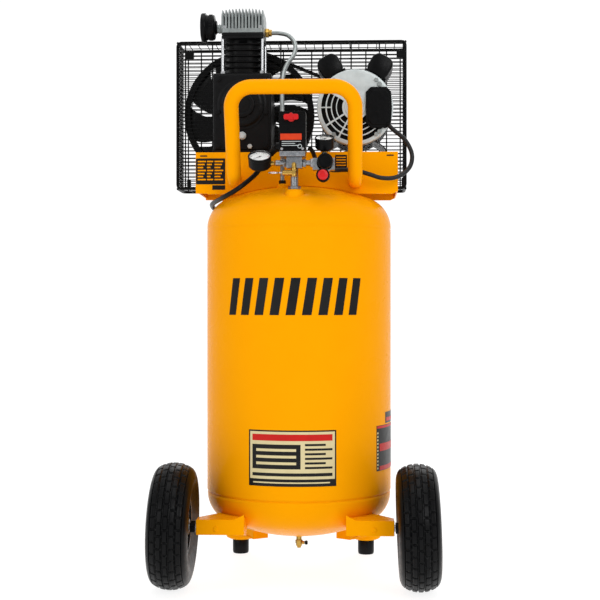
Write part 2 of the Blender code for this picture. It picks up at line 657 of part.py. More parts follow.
def make_cylinder():
    """The finned barrel, the valve plate, the finned head, the piston and its rod."""
    bottom = CASE_TOP + GAP
    count, fins = 16, 6
    pitch = (BARREL_TOP - bottom) / fins
    rings = []
    for n in range(fins):
        z = bottom + n * pitch
        thick = 0.0045
        rings += [rounded_square(CYL_HALF, 0.012, z), rounded_square(CYL_HALF, 0.012, z + thick)]
        rings += [ring_of(0.0385, z + thick, count), ring_of(0.0385, z + pitch, count)]
    rings += [ring_of(BORE_R, BARREL_TOP, count), ring_of(BORE_R, bottom, count)]
    lofted("cylinder_barrel", rings, "cast_iron", Matrix.Translation((PUMP_X, PUMP_Y, 0)), closed=True)
    half = 0.0470
    block("valve_plate", (PUMP_X - half, PUMP_Y - 0.0520, BARREL_TOP + GAP),
          (PUMP_X + half, PUMP_Y + 0.0520, PLATE_TOP), "cast_iron")
    fin_count, gap = 9, 0.0040
    pitch = (2 * half - 0.015 - gap) / (fin_count - 1)
    xs = [PUMP_X - half]
    for n in range(fin_count):
        xs += [PUMP_X - half + 0.0075 + n * pitch, PUMP_X - half + 0.0075 + n * pitch + gap]
    xs.append(PUMP_X + half)
    front, back = PUMP_Y - 0.0500, PUMP_Y + 0.0500
    ys = [front, front + 0.012, back - 0.012, back]
    zs = [PLATE_TOP + GAP, PLATE_TOP + 0.0095, HEAD_TOP, FIN_TOP]

    def solid(i, j, k):
        slot = i % 2 == 1
        return not slot or k == 0 or (k == 1 and j == 1)

    cells("cylinder_head", [xs, ys, zs], solid, "aluminium")
    turned("piston", [
        (0, 0.030), (BORE_R - 0.0015, 0.030), (BORE_R - 0.0015, -0.016), (0.026, -0.016),
        (0.026, 0.022), (0, 0.022),
    ], "aluminium", (PUMP_X, PUMP_Y, 1.128), steps=24)
    arm = block("connecting_rod", (PUMP_X - 0.007, PUMP_Y - 0.005, CRANK_Z + STROKE_R + 0.034),
                (PUMP_X + 0.007, PUMP_Y + 0.005, 1.1490), "aluminium")
    join(arm, rod("rod_big_end", 0.0150, 0.014, "aluminium",
                  (PUMP_X, PUMP_Y - 0.007, CRANK_Z + STROKE_R + 0.0435), (0, 1, 0), 20))


def make_flywheel():
    """The flywheel: a grooved rim, nine swept fan blades with slots between them, and a hub."""
    radii = [0.0099, 0.0300, 0.0640, 0.0960, 0.1400, FLY_R - GROOVE_DEPTH, FLY_R]
    shares = (0.0, 0.42, 0.84)
    first = math.radians(-32.8)
    turns = [first + math.tau * (blade + share) / FLY_BLADES
             for blade in range(FLY_BLADES) for share in shares]
    ys = [-0.0240, -0.0125, -0.0068, 0.0068, 0.0125]

    def at(turn, r, y):
        """Grid corners: the slots turn forward as they run in towards the hub."""
        inwards = (0.1455 - min(max(r, 0.064), 0.1455)) / (0.1455 - 0.064)
        angle = turn + math.radians(20) * inwards ** 0.6
        return (r * math.cos(angle), y, r * math.sin(angle))

    def solid(i, j, k):
        if j == 0:
            return True
        if j == 5:
            return k in (1, 3)
        if j == 4:
            return k > 0
        slot = i % 3 == 2 and j >= 2
        return k == 1 and not slot

    cells("flywheel", [turns + [turns[0] + math.tau], radii, ys], solid, "black_paint",
          Matrix.Translation((PUMP_X, FLY_Y, CRANK_Z)), at, wrap=True)


def make_pump_fittings():
    """The intake filter on its elbow, and the discharge pipe from the head to the tank."""
    head_left = PUMP_X - 0.0470
    z, y = 1.2195, PUMP_Y
    neck = rod("filter_elbow", 0.0095, 0.0135, "aluminium", (head_left - GAP, y, z), (-1, 0, 0), 20)
    join(neck, rod("elbow_flange", 0.0135, 0.0040, "aluminium", (head_left - GAP, y, z), (-1, 0, 0), 20))
    turned("air_filter", [
        (0, 0.0), (0.0140, 0.0), (0.0160, 0.0030), (0.0270, 0.0050), (0.0285, 0.0080), (0.0285, 0.0240),
        (0.0325, 0.0250), (0.0325, 0.0335), (0.0300, 0.0360), (0, 0.0365),
    ], "black_plastic", (head_left - 0.0145, y, z + 0.0035), (-1, 0, 0), 24)
    fit_x = PUMP_X + 0.0470
    start = (fit_x + GAP, PUMP_Y + 0.010, 1.2115)
    fitting = hexagon("discharge_fitting", 0.0105, 0.0085, "brass", start, (1, 0, 0))
    join(fitting, rod("discharge_ferrule", 0.0072, 0.0140, "brass", start, (1, 0, 0), 16))
    pipe_end = (-0.0325, AXIS_Y - 0.0800)
    top = TOP_SEAM_Z + head_height(TOP_Z - TOP_SEAM_Z, math.hypot(pipe_end[0], 0.080))
    route = [
        (start[0] + 0.0144, start[1], start[2]), (-0.0480, start[1], 1.2110),
        (-0.0260, start[1] - 0.006, 1.2040), (-0.0110, start[1] - 0.018, 1.1830),
        (-0.0120, start[1] - 0.038, 1.1560), (-0.0260, start[1] - 0.062, 1.1300),
        (-0.0330, start[1] - 0.090, 1.1040), (-0.0345, start[1] - 0.112, 1.0700),
        (-0.0335, pipe_end[1] + 0.008, 1.0300), (-0.0325, pipe_end[1], 0.9900),
        (-0.0325, pipe_end[1], 0.9400), (-0.0325, pipe_end[1], top + 0.004),
    ]
    pipe = swept("discharge_tube", smooth_path(route, 0.017), 0.0048, "aluminium", 8)
    join(pipe, hexagon("check_valve", 0.0125, 0.0220, "brass", (*pipe_end, top + 0.0024)))


def make_motor():
    """The motor: barrel, vented front bell, rotor, base, pulley, capacitor and terminal covers."""
    front, back = MOTOR_Y
    barrel_r = MOTOR_R - 0.004
    turned("motor_shell", [
        (barrel_r, 0.022), (barrel_r, back - front - 0.012), (0.066, back - front - 0.002),
        (0.0120, back - front), (0.0120, back - front - 0.004), (0.064, back - front - 0.006),
        (barrel_r - 0.004, back - front - 0.016), (barrel_r - 0.004, 0.022),
    ], "black_paint", (MOTOR_X, front, MOTOR_Z), (0, 1, 0), 28)
    bell_vents()
    rotor = rod("motor_rotor", 0.045, 0.090, "steel", (MOTOR_X, front + 0.050, MOTOR_Z), (0, 1, 0), 24)
    join(rotor, rod("motor_shaft", 0.0079, 0.232, "steel", (MOTOR_X, front + 0.0200, MOTOR_Z), (0, 1, 0), 16))
    base_top = MOTOR_Z - MOTOR_R - 0.0012
    base = cells("motor_base", [
        [MOTOR_X - 0.0720, MOTOR_X - 0.0600, MOTOR_X + 0.0600, MOTOR_X + 0.0720],
        [front + 0.026, front + 0.150], [DECK_TOP + GAP, DECK_TOP + 0.0045, base_top + 0.0250],
    ], lambda i, j, k: k == 0 or i != 1, "black_paint")
    cut(base, rod("cradle", MOTOR_R + GAP, 0.30, "steel", (MOTOR_X, front - 0.05, MOTOR_Z), (0, 1, 0), 36))
    rim, groove = PULLEY_R, PULLEY_R - GROOVE_DEPTH
    turned("motor_pulley", [
        (0.0083, -0.0125), (rim, -0.0125), (rim, -0.0068), (groove, -0.0068), (groove, 0.0068),
        (rim, 0.0068), (rim, 0.0125), (0.0200, 0.0125), (0.0200, 0.0200), (0.0083, 0.0200),
    ], "black_paint", (MOTOR_X, FLY_Y, MOTOR_Z), (0, 1, 0), 20)
    make_motor_covers(front)


def bell_vents():
    """The front end bell: a cup whose face has rings of vent slots, open on its lower left."""
    front = MOTOR_Y[0]
    rings = [0.0130, 0.0285, 0.0430, 0.0460, 0.0600, 0.0630, 0.0765, MOTOR_R - 0.0045, MOTOR_R]
    sectors = 20
    turns = [math.tau * n / sectors for n in range(sectors)]

    def solid(i, j, k):
        if k == 1:
            return j == 7
        return not (j in (1, 3, 5) and 9 <= i <= 16 and i not in (11, 14))

    def at(turn, r, y):
        return (r * math.cos(turn), y, r * math.sin(turn))

    cells("motor_front_bell", [turns + [math.tau], rings, [0.0, 0.0045, 0.0217]], solid,
          "bell_aluminium", Matrix.Translation((MOTOR_X, front, MOTOR_Z)), at, wrap=True)


def make_motor_covers(front):
    """Two capacitor covers over the barrel's shoulders and the terminal cover on the bell."""
    for side, sign in (("left", -1), ("right", 1)):
        lean = math.radians(30) * sign
        outward = Vector((math.sin(lean), 0, math.cos(lean)))
        rings = [[(x, y + 0.0260, z) for x, y, z in rounded_square(0.0255, 0.018, along, 4, 0.0260)]
                 for along in (-0.105, 0.0)]
        side_axis = Vector((math.cos(lean), 0, -math.sin(lean)))
        place = Matrix.Translation(Vector((MOTOR_X, front + 0.030, MOTOR_Z)) + outward * (MOTOR_R + 0.0035))
        turn = Matrix((side_axis, outward, side_axis.cross(outward))).transposed().to_4x4()
        cover = lofted(f"capacitor_cover_{side}", [[turn @ Vector(p) for p in ring] for ring in rings],
                       "black_plastic", place)
        cut(cover, rod("barrel_clearance", MOTOR_R + GAP, 0.4, "steel",
                       (MOTOR_X, front - 0.1, MOTOR_Z), (0, 1, 0), 48))
    x0, x1, z0, z1, chamfer = 0.1480, 0.2045, 0.9830, 1.0730, 0.011
    outline = [
        (x0 + chamfer, z0), (x1 - chamfer, z0), (x1 - 0.001, z0 + chamfer), (x1 + 0.001, (z0 + z1) / 2),
        (x1 - 0.001, z1 - chamfer), (x1 - chamfer, z1), (x0 + chamfer, z1), (x0, z1 - chamfer),
        (x0, z0 + chamfer),
    ]
    place = Matrix.Translation((0, front - GAP, 0)) @ Matrix.Rotation(math.radians(90), 4, "X")
    prism("terminal_cover", outline, 0.0, 0.0090, "black_plastic", place)


def belt_path(radius_big, radius_small, arc_steps=14):
    """The belt's line round both wheels in the X-Z plane, from its upper flywheel tangent round."""
    run = Vector((MOTOR_X - PUMP_X, MOTOR_Z - CRANK_Z))
    tilt = math.atan2(run.y, run.x)
    open_angle = math.acos((radius_big - radius_small) / run.length)
    points = []
    for n in range(2 * arc_steps + 1):
        turn = tilt + open_angle + (math.tau - 2 * open_angle) * n / (2 * arc_steps)
        points.append((PUMP_X + radius_big * math.cos(turn), CRANK_Z + radius_big * math.sin(turn)))
    for n in range(arc_steps + 1):
        turn = tilt - open_angle + 2 * open_angle * n / arc_steps
        points.append((MOTOR_X + radius_small * math.cos(turn), MOTOR_Z + radius_small * math.sin(turn)))
    return points


def make_belt():
    """The drive belt: a band that lies in both grooves with its working clearance."""
    clear = 0.0008
    inner = belt_path(FLY_R - GROOVE_DEPTH + clear, PULLEY_R - GROOVE_DEPTH + clear)
    outer = belt_path(FLY_R - 0.0004, PULLEY_R - 0.0004)
    rings = []
    for (xi, zi), (xo, zo) in zip(inner, outer):
        rings.append([(xi, FLY_Y - BELT_HALF + 0.001, zi), (xo, FLY_Y - BELT_HALF, zo),
                      (xo, FLY_Y + BELT_HALF, zo), (xi, FLY_Y + BELT_HALF - 0.001, zi)])
    lofted("drive_belt", rings, "rubber", closed=True)


def make_guard():
    """The belt guard: a barred basket behind the wheels and a barred panel in front of them."""
    bar, thick = 0.0050, 0.0040
    front, back = GUARD_Y
    xs = bars(*GUARD_X, 8, bar)
    zs = bars(*GUARD_Z, 3, bar)

    def lattice(i, k):
        return i % 2 == 0 or k % 2 == 0

    def rim(i, k):
        return i in (0, len(xs) - 2) or k in (0, len(zs) - 2)

    basket = [front + thick + GAP, back - thick, back]
    cells("guard_back", [xs, basket, zs],
          lambda i, j, k: lattice(i, k) if j else rim(i, k), "black_paint")

    cells("guard_front", [xs, [front, front + thick], zs], lambda i, j, k: lattice(i, k), "black_paint")


def make_controls():
    """What stands on the outlet port: manifold, pressure switch, safety valve, gauges, regulator."""
    crown = TOP_SEAM_Z + head_height(TOP_Z - TOP_SEAM_Z, abs(PORT_Y - AXIS_Y))
    middle = (MANIFOLD_Z[0] + MANIFOLD_Z[1]) / 2
    manifold = block("manifold", (PORT_X - 0.0170, PORT_Y - 0.0110, MANIFOLD_Z[0]),
                     (PORT_X + 0.0170, PORT_Y + 0.0110, MANIFOLD_Z[1]), "zinc")
    join(manifold, rod("pipe_nipple", 0.0081, MANIFOLD_Z[0] - crown + 0.004, "zinc",
                       (PORT_X, PORT_Y, crown - 0.002), steps=20))
    nipples = (("regulator_nipple", 0.0058, 0.0285, 1), ("gauge_nipple", 0.0062, 0.0300, -1))
    for name, radius, length, sign in nipples:
        join(manifold, rod(name, radius, length, "zinc",
                           (PORT_X + sign * 0.010, PORT_Y, middle), (sign, 0, 0), 16))
    make_switch()
    make_safety_valve()
    make_gauge("tank_gauge", GAUGE_FACE, GAUGE_TILT, GAUGE_R, GAUGE_LONG,
               (PORT_X - 0.0416, PORT_Y, middle))
    body = make_regulator(middle)
    make_gauge("regulator_gauge", SMALL_FACE, SMALL_TILT, SMALL_R, SMALL_LONG, body)


def make_switch():
    """The pressure switch: die-cast base, plastic cover and the red on and off lever on its top."""
    low, high = (SWITCH_X[0], SWITCH_Y[0], SWITCH_Z[0]), (SWITCH_X[1], SWITCH_Y[1], SWITCH_Z[1])
    base_top = low[2] + 0.0120
    base = block("switch_base", (low[0] + 0.001, low[1] + 0.003, low[2]),
                 (high[0] - 0.001, high[1], base_top), "zinc")
    soften(base, 0.003, 2)
    wall = 0.0025
    cover = block("switch_cover", (low[0], low[1], base_top + GAP), high, "black_plastic")
    soften(cover, 0.0045, 2)
    cut(cover, block("cover_room", (low[0] + wall, low[1] + wall, low[2]),
                     (high[0] - wall, high[1] - wall, high[2] - wall), "steel"))
    pivot = ((low[0] + high[0]) / 2 - 0.002, low[1] - 0.0004, 0.9860)
    lever = rod("switch_lever", 0.0085, 0.0075, "red_plastic", pivot, (0, -1, 0), 20)
    join(lever, block("lever_grip", (pivot[0] - 0.0155, pivot[1] - 0.0120, pivot[2] - 0.0050),
                      (pivot[0] + 0.0155, pivot[1] - 0.0030, pivot[2] + 0.0070), "red_plastic"))
    relief = rod("strain_relief", 0.0095, 0.0090, "rubber",
                 (low[0] - GAP, CORD_EXIT[1], CORD_EXIT[2]), (-1, 0, 0), 16)
    join(relief, turned("relief_cone", [
        (0, 0.0), (0.0075, 0.0), (0.0062, RELIEF_LONG), (0, RELIEF_LONG),
    ], "rubber", CORD_EXIT, CORD_WAY, 16))


def make_safety_valve():
    """The relief valve on the manifold's front and the ring that lifts it."""
    z = 0.8725
    x, y = PORT_X, PORT_Y - 0.0215
    valve = hexagon("safety_valve", 0.0075, 0.0200, "brass", (x, y, z - 0.0085))
    join(valve, rod("valve_neck", 0.0050, 0.0130, "brass", (x, PORT_Y - 0.0113, 0.8895), (0, -1, 0), 12))
    join(valve, rod("valve_throat", 0.0050, 0.0100, "brass", (x, y, 0.8820), (0, 0, 1), 12))
    join(valve, rod("valve_barrel", 0.0058, 0.0240, "brass", (x, y, z), (-1, 0, 0), 12))
    ring = []
    for n in range(20):
        turn = math.tau * n / 20
        centre = Vector((x - 0.0425, y, z))
        way = Vector((math.cos(turn), math.sin(turn), 0))
        spot = centre + 0.0110 * way
        ring.append([spot + 0.0011 * (way * math.cos(s) + Vector((0, 0, math.sin(s))))
                     for s in (math.tau * m / 6 for m in range(6))])
    pull = lofted("safety_ring", ring, "steel", closed=True)
    join(pull, rod("ring_stem", 0.0016, 0.0085, "steel", (x - 0.0243, y, z), (-1, 0, 0), 8))


def make_gauge(name, face, tilt, radius, long, root):
    """A dial gauge: a can open under its glass, a stem to its fitting, and the needle on its pivot."""
    look = Vector((0, -math.cos(tilt), math.sin(tilt)))
    face = Vector(face)
    case = turned(name, [
        (0, -0.0050), (radius - 0.0022, -0.0050), (radius - 0.0022, 0.0), (radius, 0.0),
        (radius, -long + 0.004), (radius - 0.004, -long), (0, -long),
    ], "black_plastic", face, look, 20)
    back = face - look * (long - 0.004)
    root = Vector(root)
    join(case, rod("gauge_stem", 0.0052, (root - back).length, "brass", back, root - back, 12))
    needle = rod(f"{name}_needle", 0.0022, 0.0018, "black_plastic", face - look * 0.0047, look, 12)
    across = look.cross(Vector((1, 0, 0))).normalized()
    pointer = block("needle_blade", (-0.0006, -0.0040, 0.0004), (0.0006, radius * 0.72, 0.0012),
                    "black_plastic")
    turn = Matrix.Rotation(math.radians(125), 4, look)
    frame = Matrix((Vector((1, 0, 0)), -across, look)).transposed().to_4x4()
    pointer.matrix_world = Matrix.Translation(face - look * 0.0047) @ turn @ frame
    join(needle, pointer)


def make_regulator(middle):
    """The regulator: die-cast body, black knob, quick coupler with its red dust cap."""
    inlet = PORT_X + 0.0388
    body = block("regulator_body", (inlet, PORT_Y - 0.0170, 0.8790),
                 (0.0822, PORT_Y + 0.0170, 0.9120), "zinc")
    soften(body, 0.0045, 2)
    port_y = PORT_Y + 0.0060
    join(body, rod("gauge_port", 0.0060, 0.0080, "zinc", (0.0605, port_y, 0.9080), steps=12))
    join(body, rod("outlet_neck", 0.0068, 0.0360, "zinc",
                   (COUPLER_X, PORT_Y - 0.0020, COUPLER_Z + 0.0055), (0, -1, 0), 16))
    join(body, rod("outlet_boss", 0.0080, 0.0150, "zinc",
                   (COUPLER_X, PORT_Y - 0.0040, COUPLER_Z + 0.0010), steps=16))
    knob_at = (REG_X, PORT_Y - 0.0175, 0.8965)
    ridges = 18
    rings = []
    for along, scale in ((0.0, 0.93), (0.0015, 1.0), (0.0150, 1.0), (0.0180, 0.88)):
        ring = []
        for n in range(2 * ridges):
            turn = math.pi * n / ridges
            r = 0.0166 * scale * (1.0 if n % 2 else 0.96)
            ring.append((r * math.cos(turn), r * math.sin(turn), along))
        rings.append(ring)
    lofted("regulator_knob", rings, "black_plastic", axis_frame(knob_at, (0, -1, 0)))
    at = (COUPLER_X, PORT_Y - 0.0383, COUPLER_Z)
    turned("quick_coupler", [
        (0.0098, 0.0), (0.0142, 0.0), (0.0142, 0.0040), (0.0128, 0.0055), (0.0128, 0.0110),
        (0.0142, 0.0125), (0.0142, 0.0190), (0.0125, 0.0205), (0.0098, 0.0205),
        (0.0098, 0.0030), (0, 0.0030), (0, 0.0),
    ], "black_plastic", at, (0, -1, 0), 16)
    turned("coupler_cap", [
        (0, 0.0040), (0.0080, 0.0040), (0.0080, 0.0208), (0.0106, 0.0208), (0.0106, 0.0240),
        (0.0080, 0.0258), (0, 0.0258),
    ], "red_plastic", at, (0, -1, 0), 16)
    return (0.0605, port_y, 0.9166)


def hank_outline(grow):
    """A round-ended loop in plan, a distance outside or inside its middle line."""
    r = HANK_BEND_R + grow
    points = []
    for middle_y, start in ((HANK_Y[1] - HANK_BEND_R, 0.0), (HANK_Y[0] + HANK_BEND_R, math.pi)):
        for n in range(13):
            turn = start + math.pi * n / 12
            points.append((HANK_X + r * math.cos(turn), middle_y + r * math.sin(turn)))
    return points


def make_cords():
    """The power cord, its hank and plug, and the lead between motor and switch."""
    first = Vector(CORD_EXIT) + Vector(CORD_WAY).normalized() * (RELIEF_LONG + GAP)
    cord("power_cord", smooth_path([first] + CORD_ROUTE, CORD_POINT_STEP), CORD_R, "rubber")
    half = CORD_R + 0.0002
    tall = HANK_LAYERS * 2 * CORD_R
    prism("cord_hank", hank_outline(half), 0.0002, tall, "rubber")
    plug_x = HANK_X - HANK_BEND_R
    plug_at = (plug_x, PLUG_Y, 0.0150)
    plug = turned("power_plug", [
        (0, 0.0), (0.0080, 0.0), (0.0090, 0.0100), (0.0140, 0.0180), (0.0145, 0.0400), (0.0135, 0.0430),
        (0, 0.0430),
    ], "rubber", plug_at, (0, 1, 0), 20)
    for x in (-0.0062, 0.0062):
        join(plug, block("plug_blade", (plug_x + x - 0.0008, PLUG_Y + 0.041, 0.0120),
                         (plug_x + x + 0.0008, PLUG_Y + 0.060, 0.0183), "steel"))
    join(plug, rod("earth_pin", 0.0024, 0.0220, "steel", (plug_x, PLUG_Y + 0.041, 0.0082), (0, 1, 0), 10))
    cord("motor_lead", smooth_path(LEAD_ROUTE, 0.0170), LEAD_R, "rubber")


def main():
    for old in list(bpy.data.objects):
        bpy.data.objects.remove(old, do_unlink=True)
    make_tank()
    make_brackets()
    make_deck()
    make_pump()
    make_pump_fittings()
    make_motor()
    make_belt()
    make_guard()
    make_controls()
    make_cords()


main()
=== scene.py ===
"""Surfaces and finishes of a vertical tank air compressor, built round its packed frame.

Run as a script. Each operator makes one group of pieces in the frame's own coordinates, in metres:
+Z is up, -Y is the front, +X is on the right of someone facing the machine.
"""

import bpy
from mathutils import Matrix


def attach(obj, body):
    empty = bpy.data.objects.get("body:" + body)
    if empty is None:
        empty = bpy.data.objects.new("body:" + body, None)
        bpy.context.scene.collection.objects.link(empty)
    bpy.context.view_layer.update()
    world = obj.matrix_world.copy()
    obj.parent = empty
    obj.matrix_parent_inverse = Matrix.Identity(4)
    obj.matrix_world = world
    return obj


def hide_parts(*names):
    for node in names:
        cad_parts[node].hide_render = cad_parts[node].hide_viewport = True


bl_info = {
    "name": "Vertical tank compressor",
    "version": (1, 0, 0),
    "blender": (4, 5, 0),
    "location": "View3D > Sidebar > Compressor",
    "description": "Makes the surfaces and finishes of an upright air compressor",
    "category": "Object",
}

import math

import bmesh
import bpy
import numpy as np
from mathutils import Matrix, Vector

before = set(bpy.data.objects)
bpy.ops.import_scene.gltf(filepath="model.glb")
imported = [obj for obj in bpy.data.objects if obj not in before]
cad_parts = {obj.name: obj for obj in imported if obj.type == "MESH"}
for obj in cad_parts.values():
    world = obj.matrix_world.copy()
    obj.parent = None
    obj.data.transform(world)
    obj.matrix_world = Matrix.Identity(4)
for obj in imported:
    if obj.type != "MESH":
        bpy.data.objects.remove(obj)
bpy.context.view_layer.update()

# Sizes that several pieces share
AXIS_Y = 0.016
TANK_R = 0.2032
BOTTOM_Z, BOTTOM_SEAM, TOP_SEAM, TOP_Z = 0.087, 0.187, 0.764, 0.857
PORT = (-0.003, AXIS_Y - 0.152)
WHEEL_X, WHEEL_Y, WHEEL_Z, CAMBER = 0.2565, AXIS_Y - 0.180, 0.13252, math.radians(2.0)
DECK_X = (-0.2247, 0.2180)
DECK_Y = (AXIS_Y - 0.050, AXIS_Y + 0.150)
DECK_TOP = 0.9295
PUMP = (-0.1262, AXIS_Y + 0.050)
CRANK_Z = 1.0425
FLY_Y = AXIS_Y + 0.200
MOTOR = (0.1246, AXIS_Y - 0.030, 1.0295)
MOTOR_R = 0.084
GUARD_X, GUARD_Z, GUARD_Y = (-0.2970, 0.2450), (0.8650, 1.2150), (AXIS_Y + 0.165, AXIS_Y + 0.2806)


# ---------------------------------------------------------------- surfaces

def unit(vectors):
    """Each vector divided by its length."""
    vectors = np.asarray(vectors, float)
    return vectors / np.linalg.norm(vectors, axis=-1, keepdims=True)


def placed(points, at=(0, 0, 0), direction=(0, 0, 1)):
    """Points turned so that their Z runs along a direction, then moved to a place."""
    along = unit(direction)
    helper = (0, 0, 1) if abs(along[2]) < 0.9 else (0, 1, 0)
    side = unit(np.cross(helper, along))
    return np.asarray(at) + points @ np.stack([side, np.cross(along, side), along])


def grid(points, loop_rows=False, loop_cols=False):
    """Four-sided faces between neighbouring points of a grid, closed round in either direction."""
    rows, cols = points.shape[:2]
    index = np.arange(rows * cols).reshape(rows, cols)
    low = index if loop_rows else index[:-1]
    high = np.roll(index, -1, 0) if loop_rows else index[1:]
    if loop_cols:
        quads = (low, np.roll(low, -1, 1), np.roll(high, -1, 1), high)
    else:
        quads = (low[:, :-1], low[:, 1:], high[:, 1:], high[:, :-1])
    return points.reshape(-1, 3), np.stack(quads, -1).reshape(-1, 4).tolist()


def turned(profile, at=(0, 0, 0), direction=(0, 0, 1), steps=64):
    """A profile of radius r and height h turned round its axis: x = r cos t, y = r sin t, z = h."""
    r, h = np.array(profile, float).T[:, :, None]
    t = np.linspace(0, math.tau, steps, endpoint=False)
    points = np.stack([r * np.cos(t), r * np.sin(t), h + 0 * t], -1)
    return grid(placed(points, at, direction), loop_rows=profile[0][0] > 0, loop_cols=True)


def cut_ends(radius, length, c):
    """The profile of a solid bar whose two ends are cut back by a chamfer c."""
    return [(0, 0), (radius - c, 0), (radius, c), (radius, length - c), (radius - c, length), (0, length)]


def rod(radius, length, at, direction=(0, 0, 1), steps=32, chamfer=0.0006):
    """A round bar with small chamfers at both ends."""
    c = min(chamfer, radius / 3, length / 3)
    return turned(cut_ends(radius, length, c), at, direction, steps)


def hexagon(radius, length, at, direction=(0, 0, 1)):
    """A bolt head or nut: six flats, with the corners at each end turned off to a cone."""
    return turned(cut_ends(radius, length, radius * 0.10), at, direction, 6)


def swept(path, radius, sides=24, closed=False, up=(0, 0, 1), section=None):
    """A section carried along a path: point = path + across * s + over * t, with across square to up."""
    path = np.asarray(path, float)
    along = np.roll(path, -1, 0) - np.roll(path, 1, 0) if closed else np.gradient(path, axis=0)
    along = unit(along)
    across = unit(np.cross(along, up))
    over = np.cross(across, along)
    if section is None:
        t = np.linspace(0, math.tau, sides, endpoint=False)
        section = np.stack([np.cos(t), np.sin(t)], -1) * radius
    section = np.asarray(section, float)
    points = path[:, None] + section[None, :, :1] * across[:, None] + section[None, :, 1:] * over[:, None]
    verts, faces = grid(points, loop_rows=closed, loop_cols=True)
    if not closed:
        count, last = len(section), len(path) - 1
        faces.append(list(range(count)))
        faces.append([last * count + n for n in range(count)])
    return verts, faces


def extruded(outline, low, high, at=(0, 0, 0), direction=(0, 0, 1)):
    """A flat outline carried straight from one height to another."""
    outline = np.asarray(outline, float)
    count = len(outline)
    rings = np.stack([np.concatenate([outline, np.full((count, 1), h)], 1) for h in (low, high)])
    verts, faces = grid(placed(rings, at, direction), loop_cols=True)
    return verts, faces + [list(range(count)), list(range(count, 2 * count))]


def across_front(outline, y, thick):
    """An outline in X and Z, extruded backwards from a plane that faces the front."""
    outline = np.asarray(outline, float)
    count = len(outline)
    rings = np.stack([np.stack([outline[:, 0], np.full(count, d), outline[:, 1]], 1) for d in (y, y + thick)])
    verts, faces = grid(rings, loop_cols=True)
    return verts, faces + [list(range(count)), list(range(count, 2 * count))]


def box(low, high):
    """A box between two corners."""
    (x0, y0, z0), (x1, y1, z1) = low, high
    return extruded([(x0, y0), (x1, y0), (x1, y1), (x0, y1)], z0, z1)


def slab(top, bottom):
    """A closed sheet between two grids of points that lie over each other."""
    rows, cols = top.shape[:2]
    count = rows * cols
    verts = np.concatenate([top.reshape(-1, 3), bottom.reshape(-1, 3)])
    index = np.arange(count).reshape(rows, cols)
    rim = np.concatenate([index[0], index[1:, -1], index[-1, -2::-1], index[-2:0:-1, 0]])
    faces = grid(top)[1] + (np.array(grid(top)[1])[:, ::-1] + count).tolist()
    after = np.roll(rim, -1)
    faces += np.stack([rim, rim + count, after + count, after], -1).tolist()
    return verts, faces


def rounded(half_x, half_y, radius, count=6):
    """A rectangle with round corners, as points in a plane."""
    t = np.linspace(0, math.pi / 2, count)
    ring = []
    for quarter, (sx, sy) in enumerate(((1, 1), (-1, 1), (-1, -1), (1, -1))):
        turn = t + quarter * math.pi / 2
        ring.append(np.stack([sx * (half_x - radius) + radius * np.cos(turn),
                              sy * (half_y - radius) + radius * np.sin(turn)], -1))
    return np.concatenate(ring)


def filleted(corners, radii, steps=14):
    """A path through corners with each inner corner replaced by an arc of its radius."""
    corners = [Vector(c) for c in corners]
    points = [corners[0]]
    for before, here, after, radius in zip(corners, corners[1:], corners[2:], radii):
        back, on = (before - here).normalized(), (after - here).normalized()
        half = back.angle(on) / 2
        centre = here + (back + on).normalized() * radius / math.sin(half)
        start, end = (here + way * (radius / math.tan(half)) - centre for way in (back, on))
        sweep = start.angle(end)
        for share in np.linspace(0, 1, steps):
            points.append(centre + (start * math.sin((1 - share) * sweep)
                                    + end * math.sin(share * sweep)) / math.sin(sweep))
    points.append(corners[-1])
    return np.array([tuple(p) for p in points])


def smooth_path(route, step=0.006):
    """Points a step apart on a Catmull-Rom curve through the route's points."""
    route = np.asarray(route, float)
    ends = np.concatenate([[2 * route[0] - route[1]], route, [2 * route[-1] - route[-2]]])
    t = np.linspace(0, 1, 20, endpoint=False)[None, :, None]
    a, b, c, d = (ends[n:len(ends) - 3 + n, None] for n in range(4))
    fine = 0.5 * (2 * b + (c - a) * t + (2 * a - 5 * b + 4 * c - d) * t ** 2 + (3 * b - a - 3 * c + d) * t ** 3)
    fine = np.concatenate([fine.reshape(-1, 3), route[-1:]])
    lengths = np.concatenate([[0], np.cumsum(np.linalg.norm(np.diff(fine, axis=0), axis=1))])
    want = np.linspace(0, lengths[-1], max(2, round(lengths[-1] / step)) + 1)
    return np.stack([np.interp(want, lengths, fine[:, n]) for n in range(3)], -1)


def wrapped(turn, z, low=0.0001, high=0.0005, steps=24):
    """A thin patch bent round the tank: x = r sin t and y = axis - r cos t, with t from the front."""
    t, z = np.meshgrid(np.linspace(*turn, steps), np.asarray(z, float))

    def at(lift):
        return np.stack([(TANK_R + lift) * np.sin(t), AXIS_Y - (TANK_R + lift) * np.cos(t), z], -1)

    return slab(at(high), at(low))


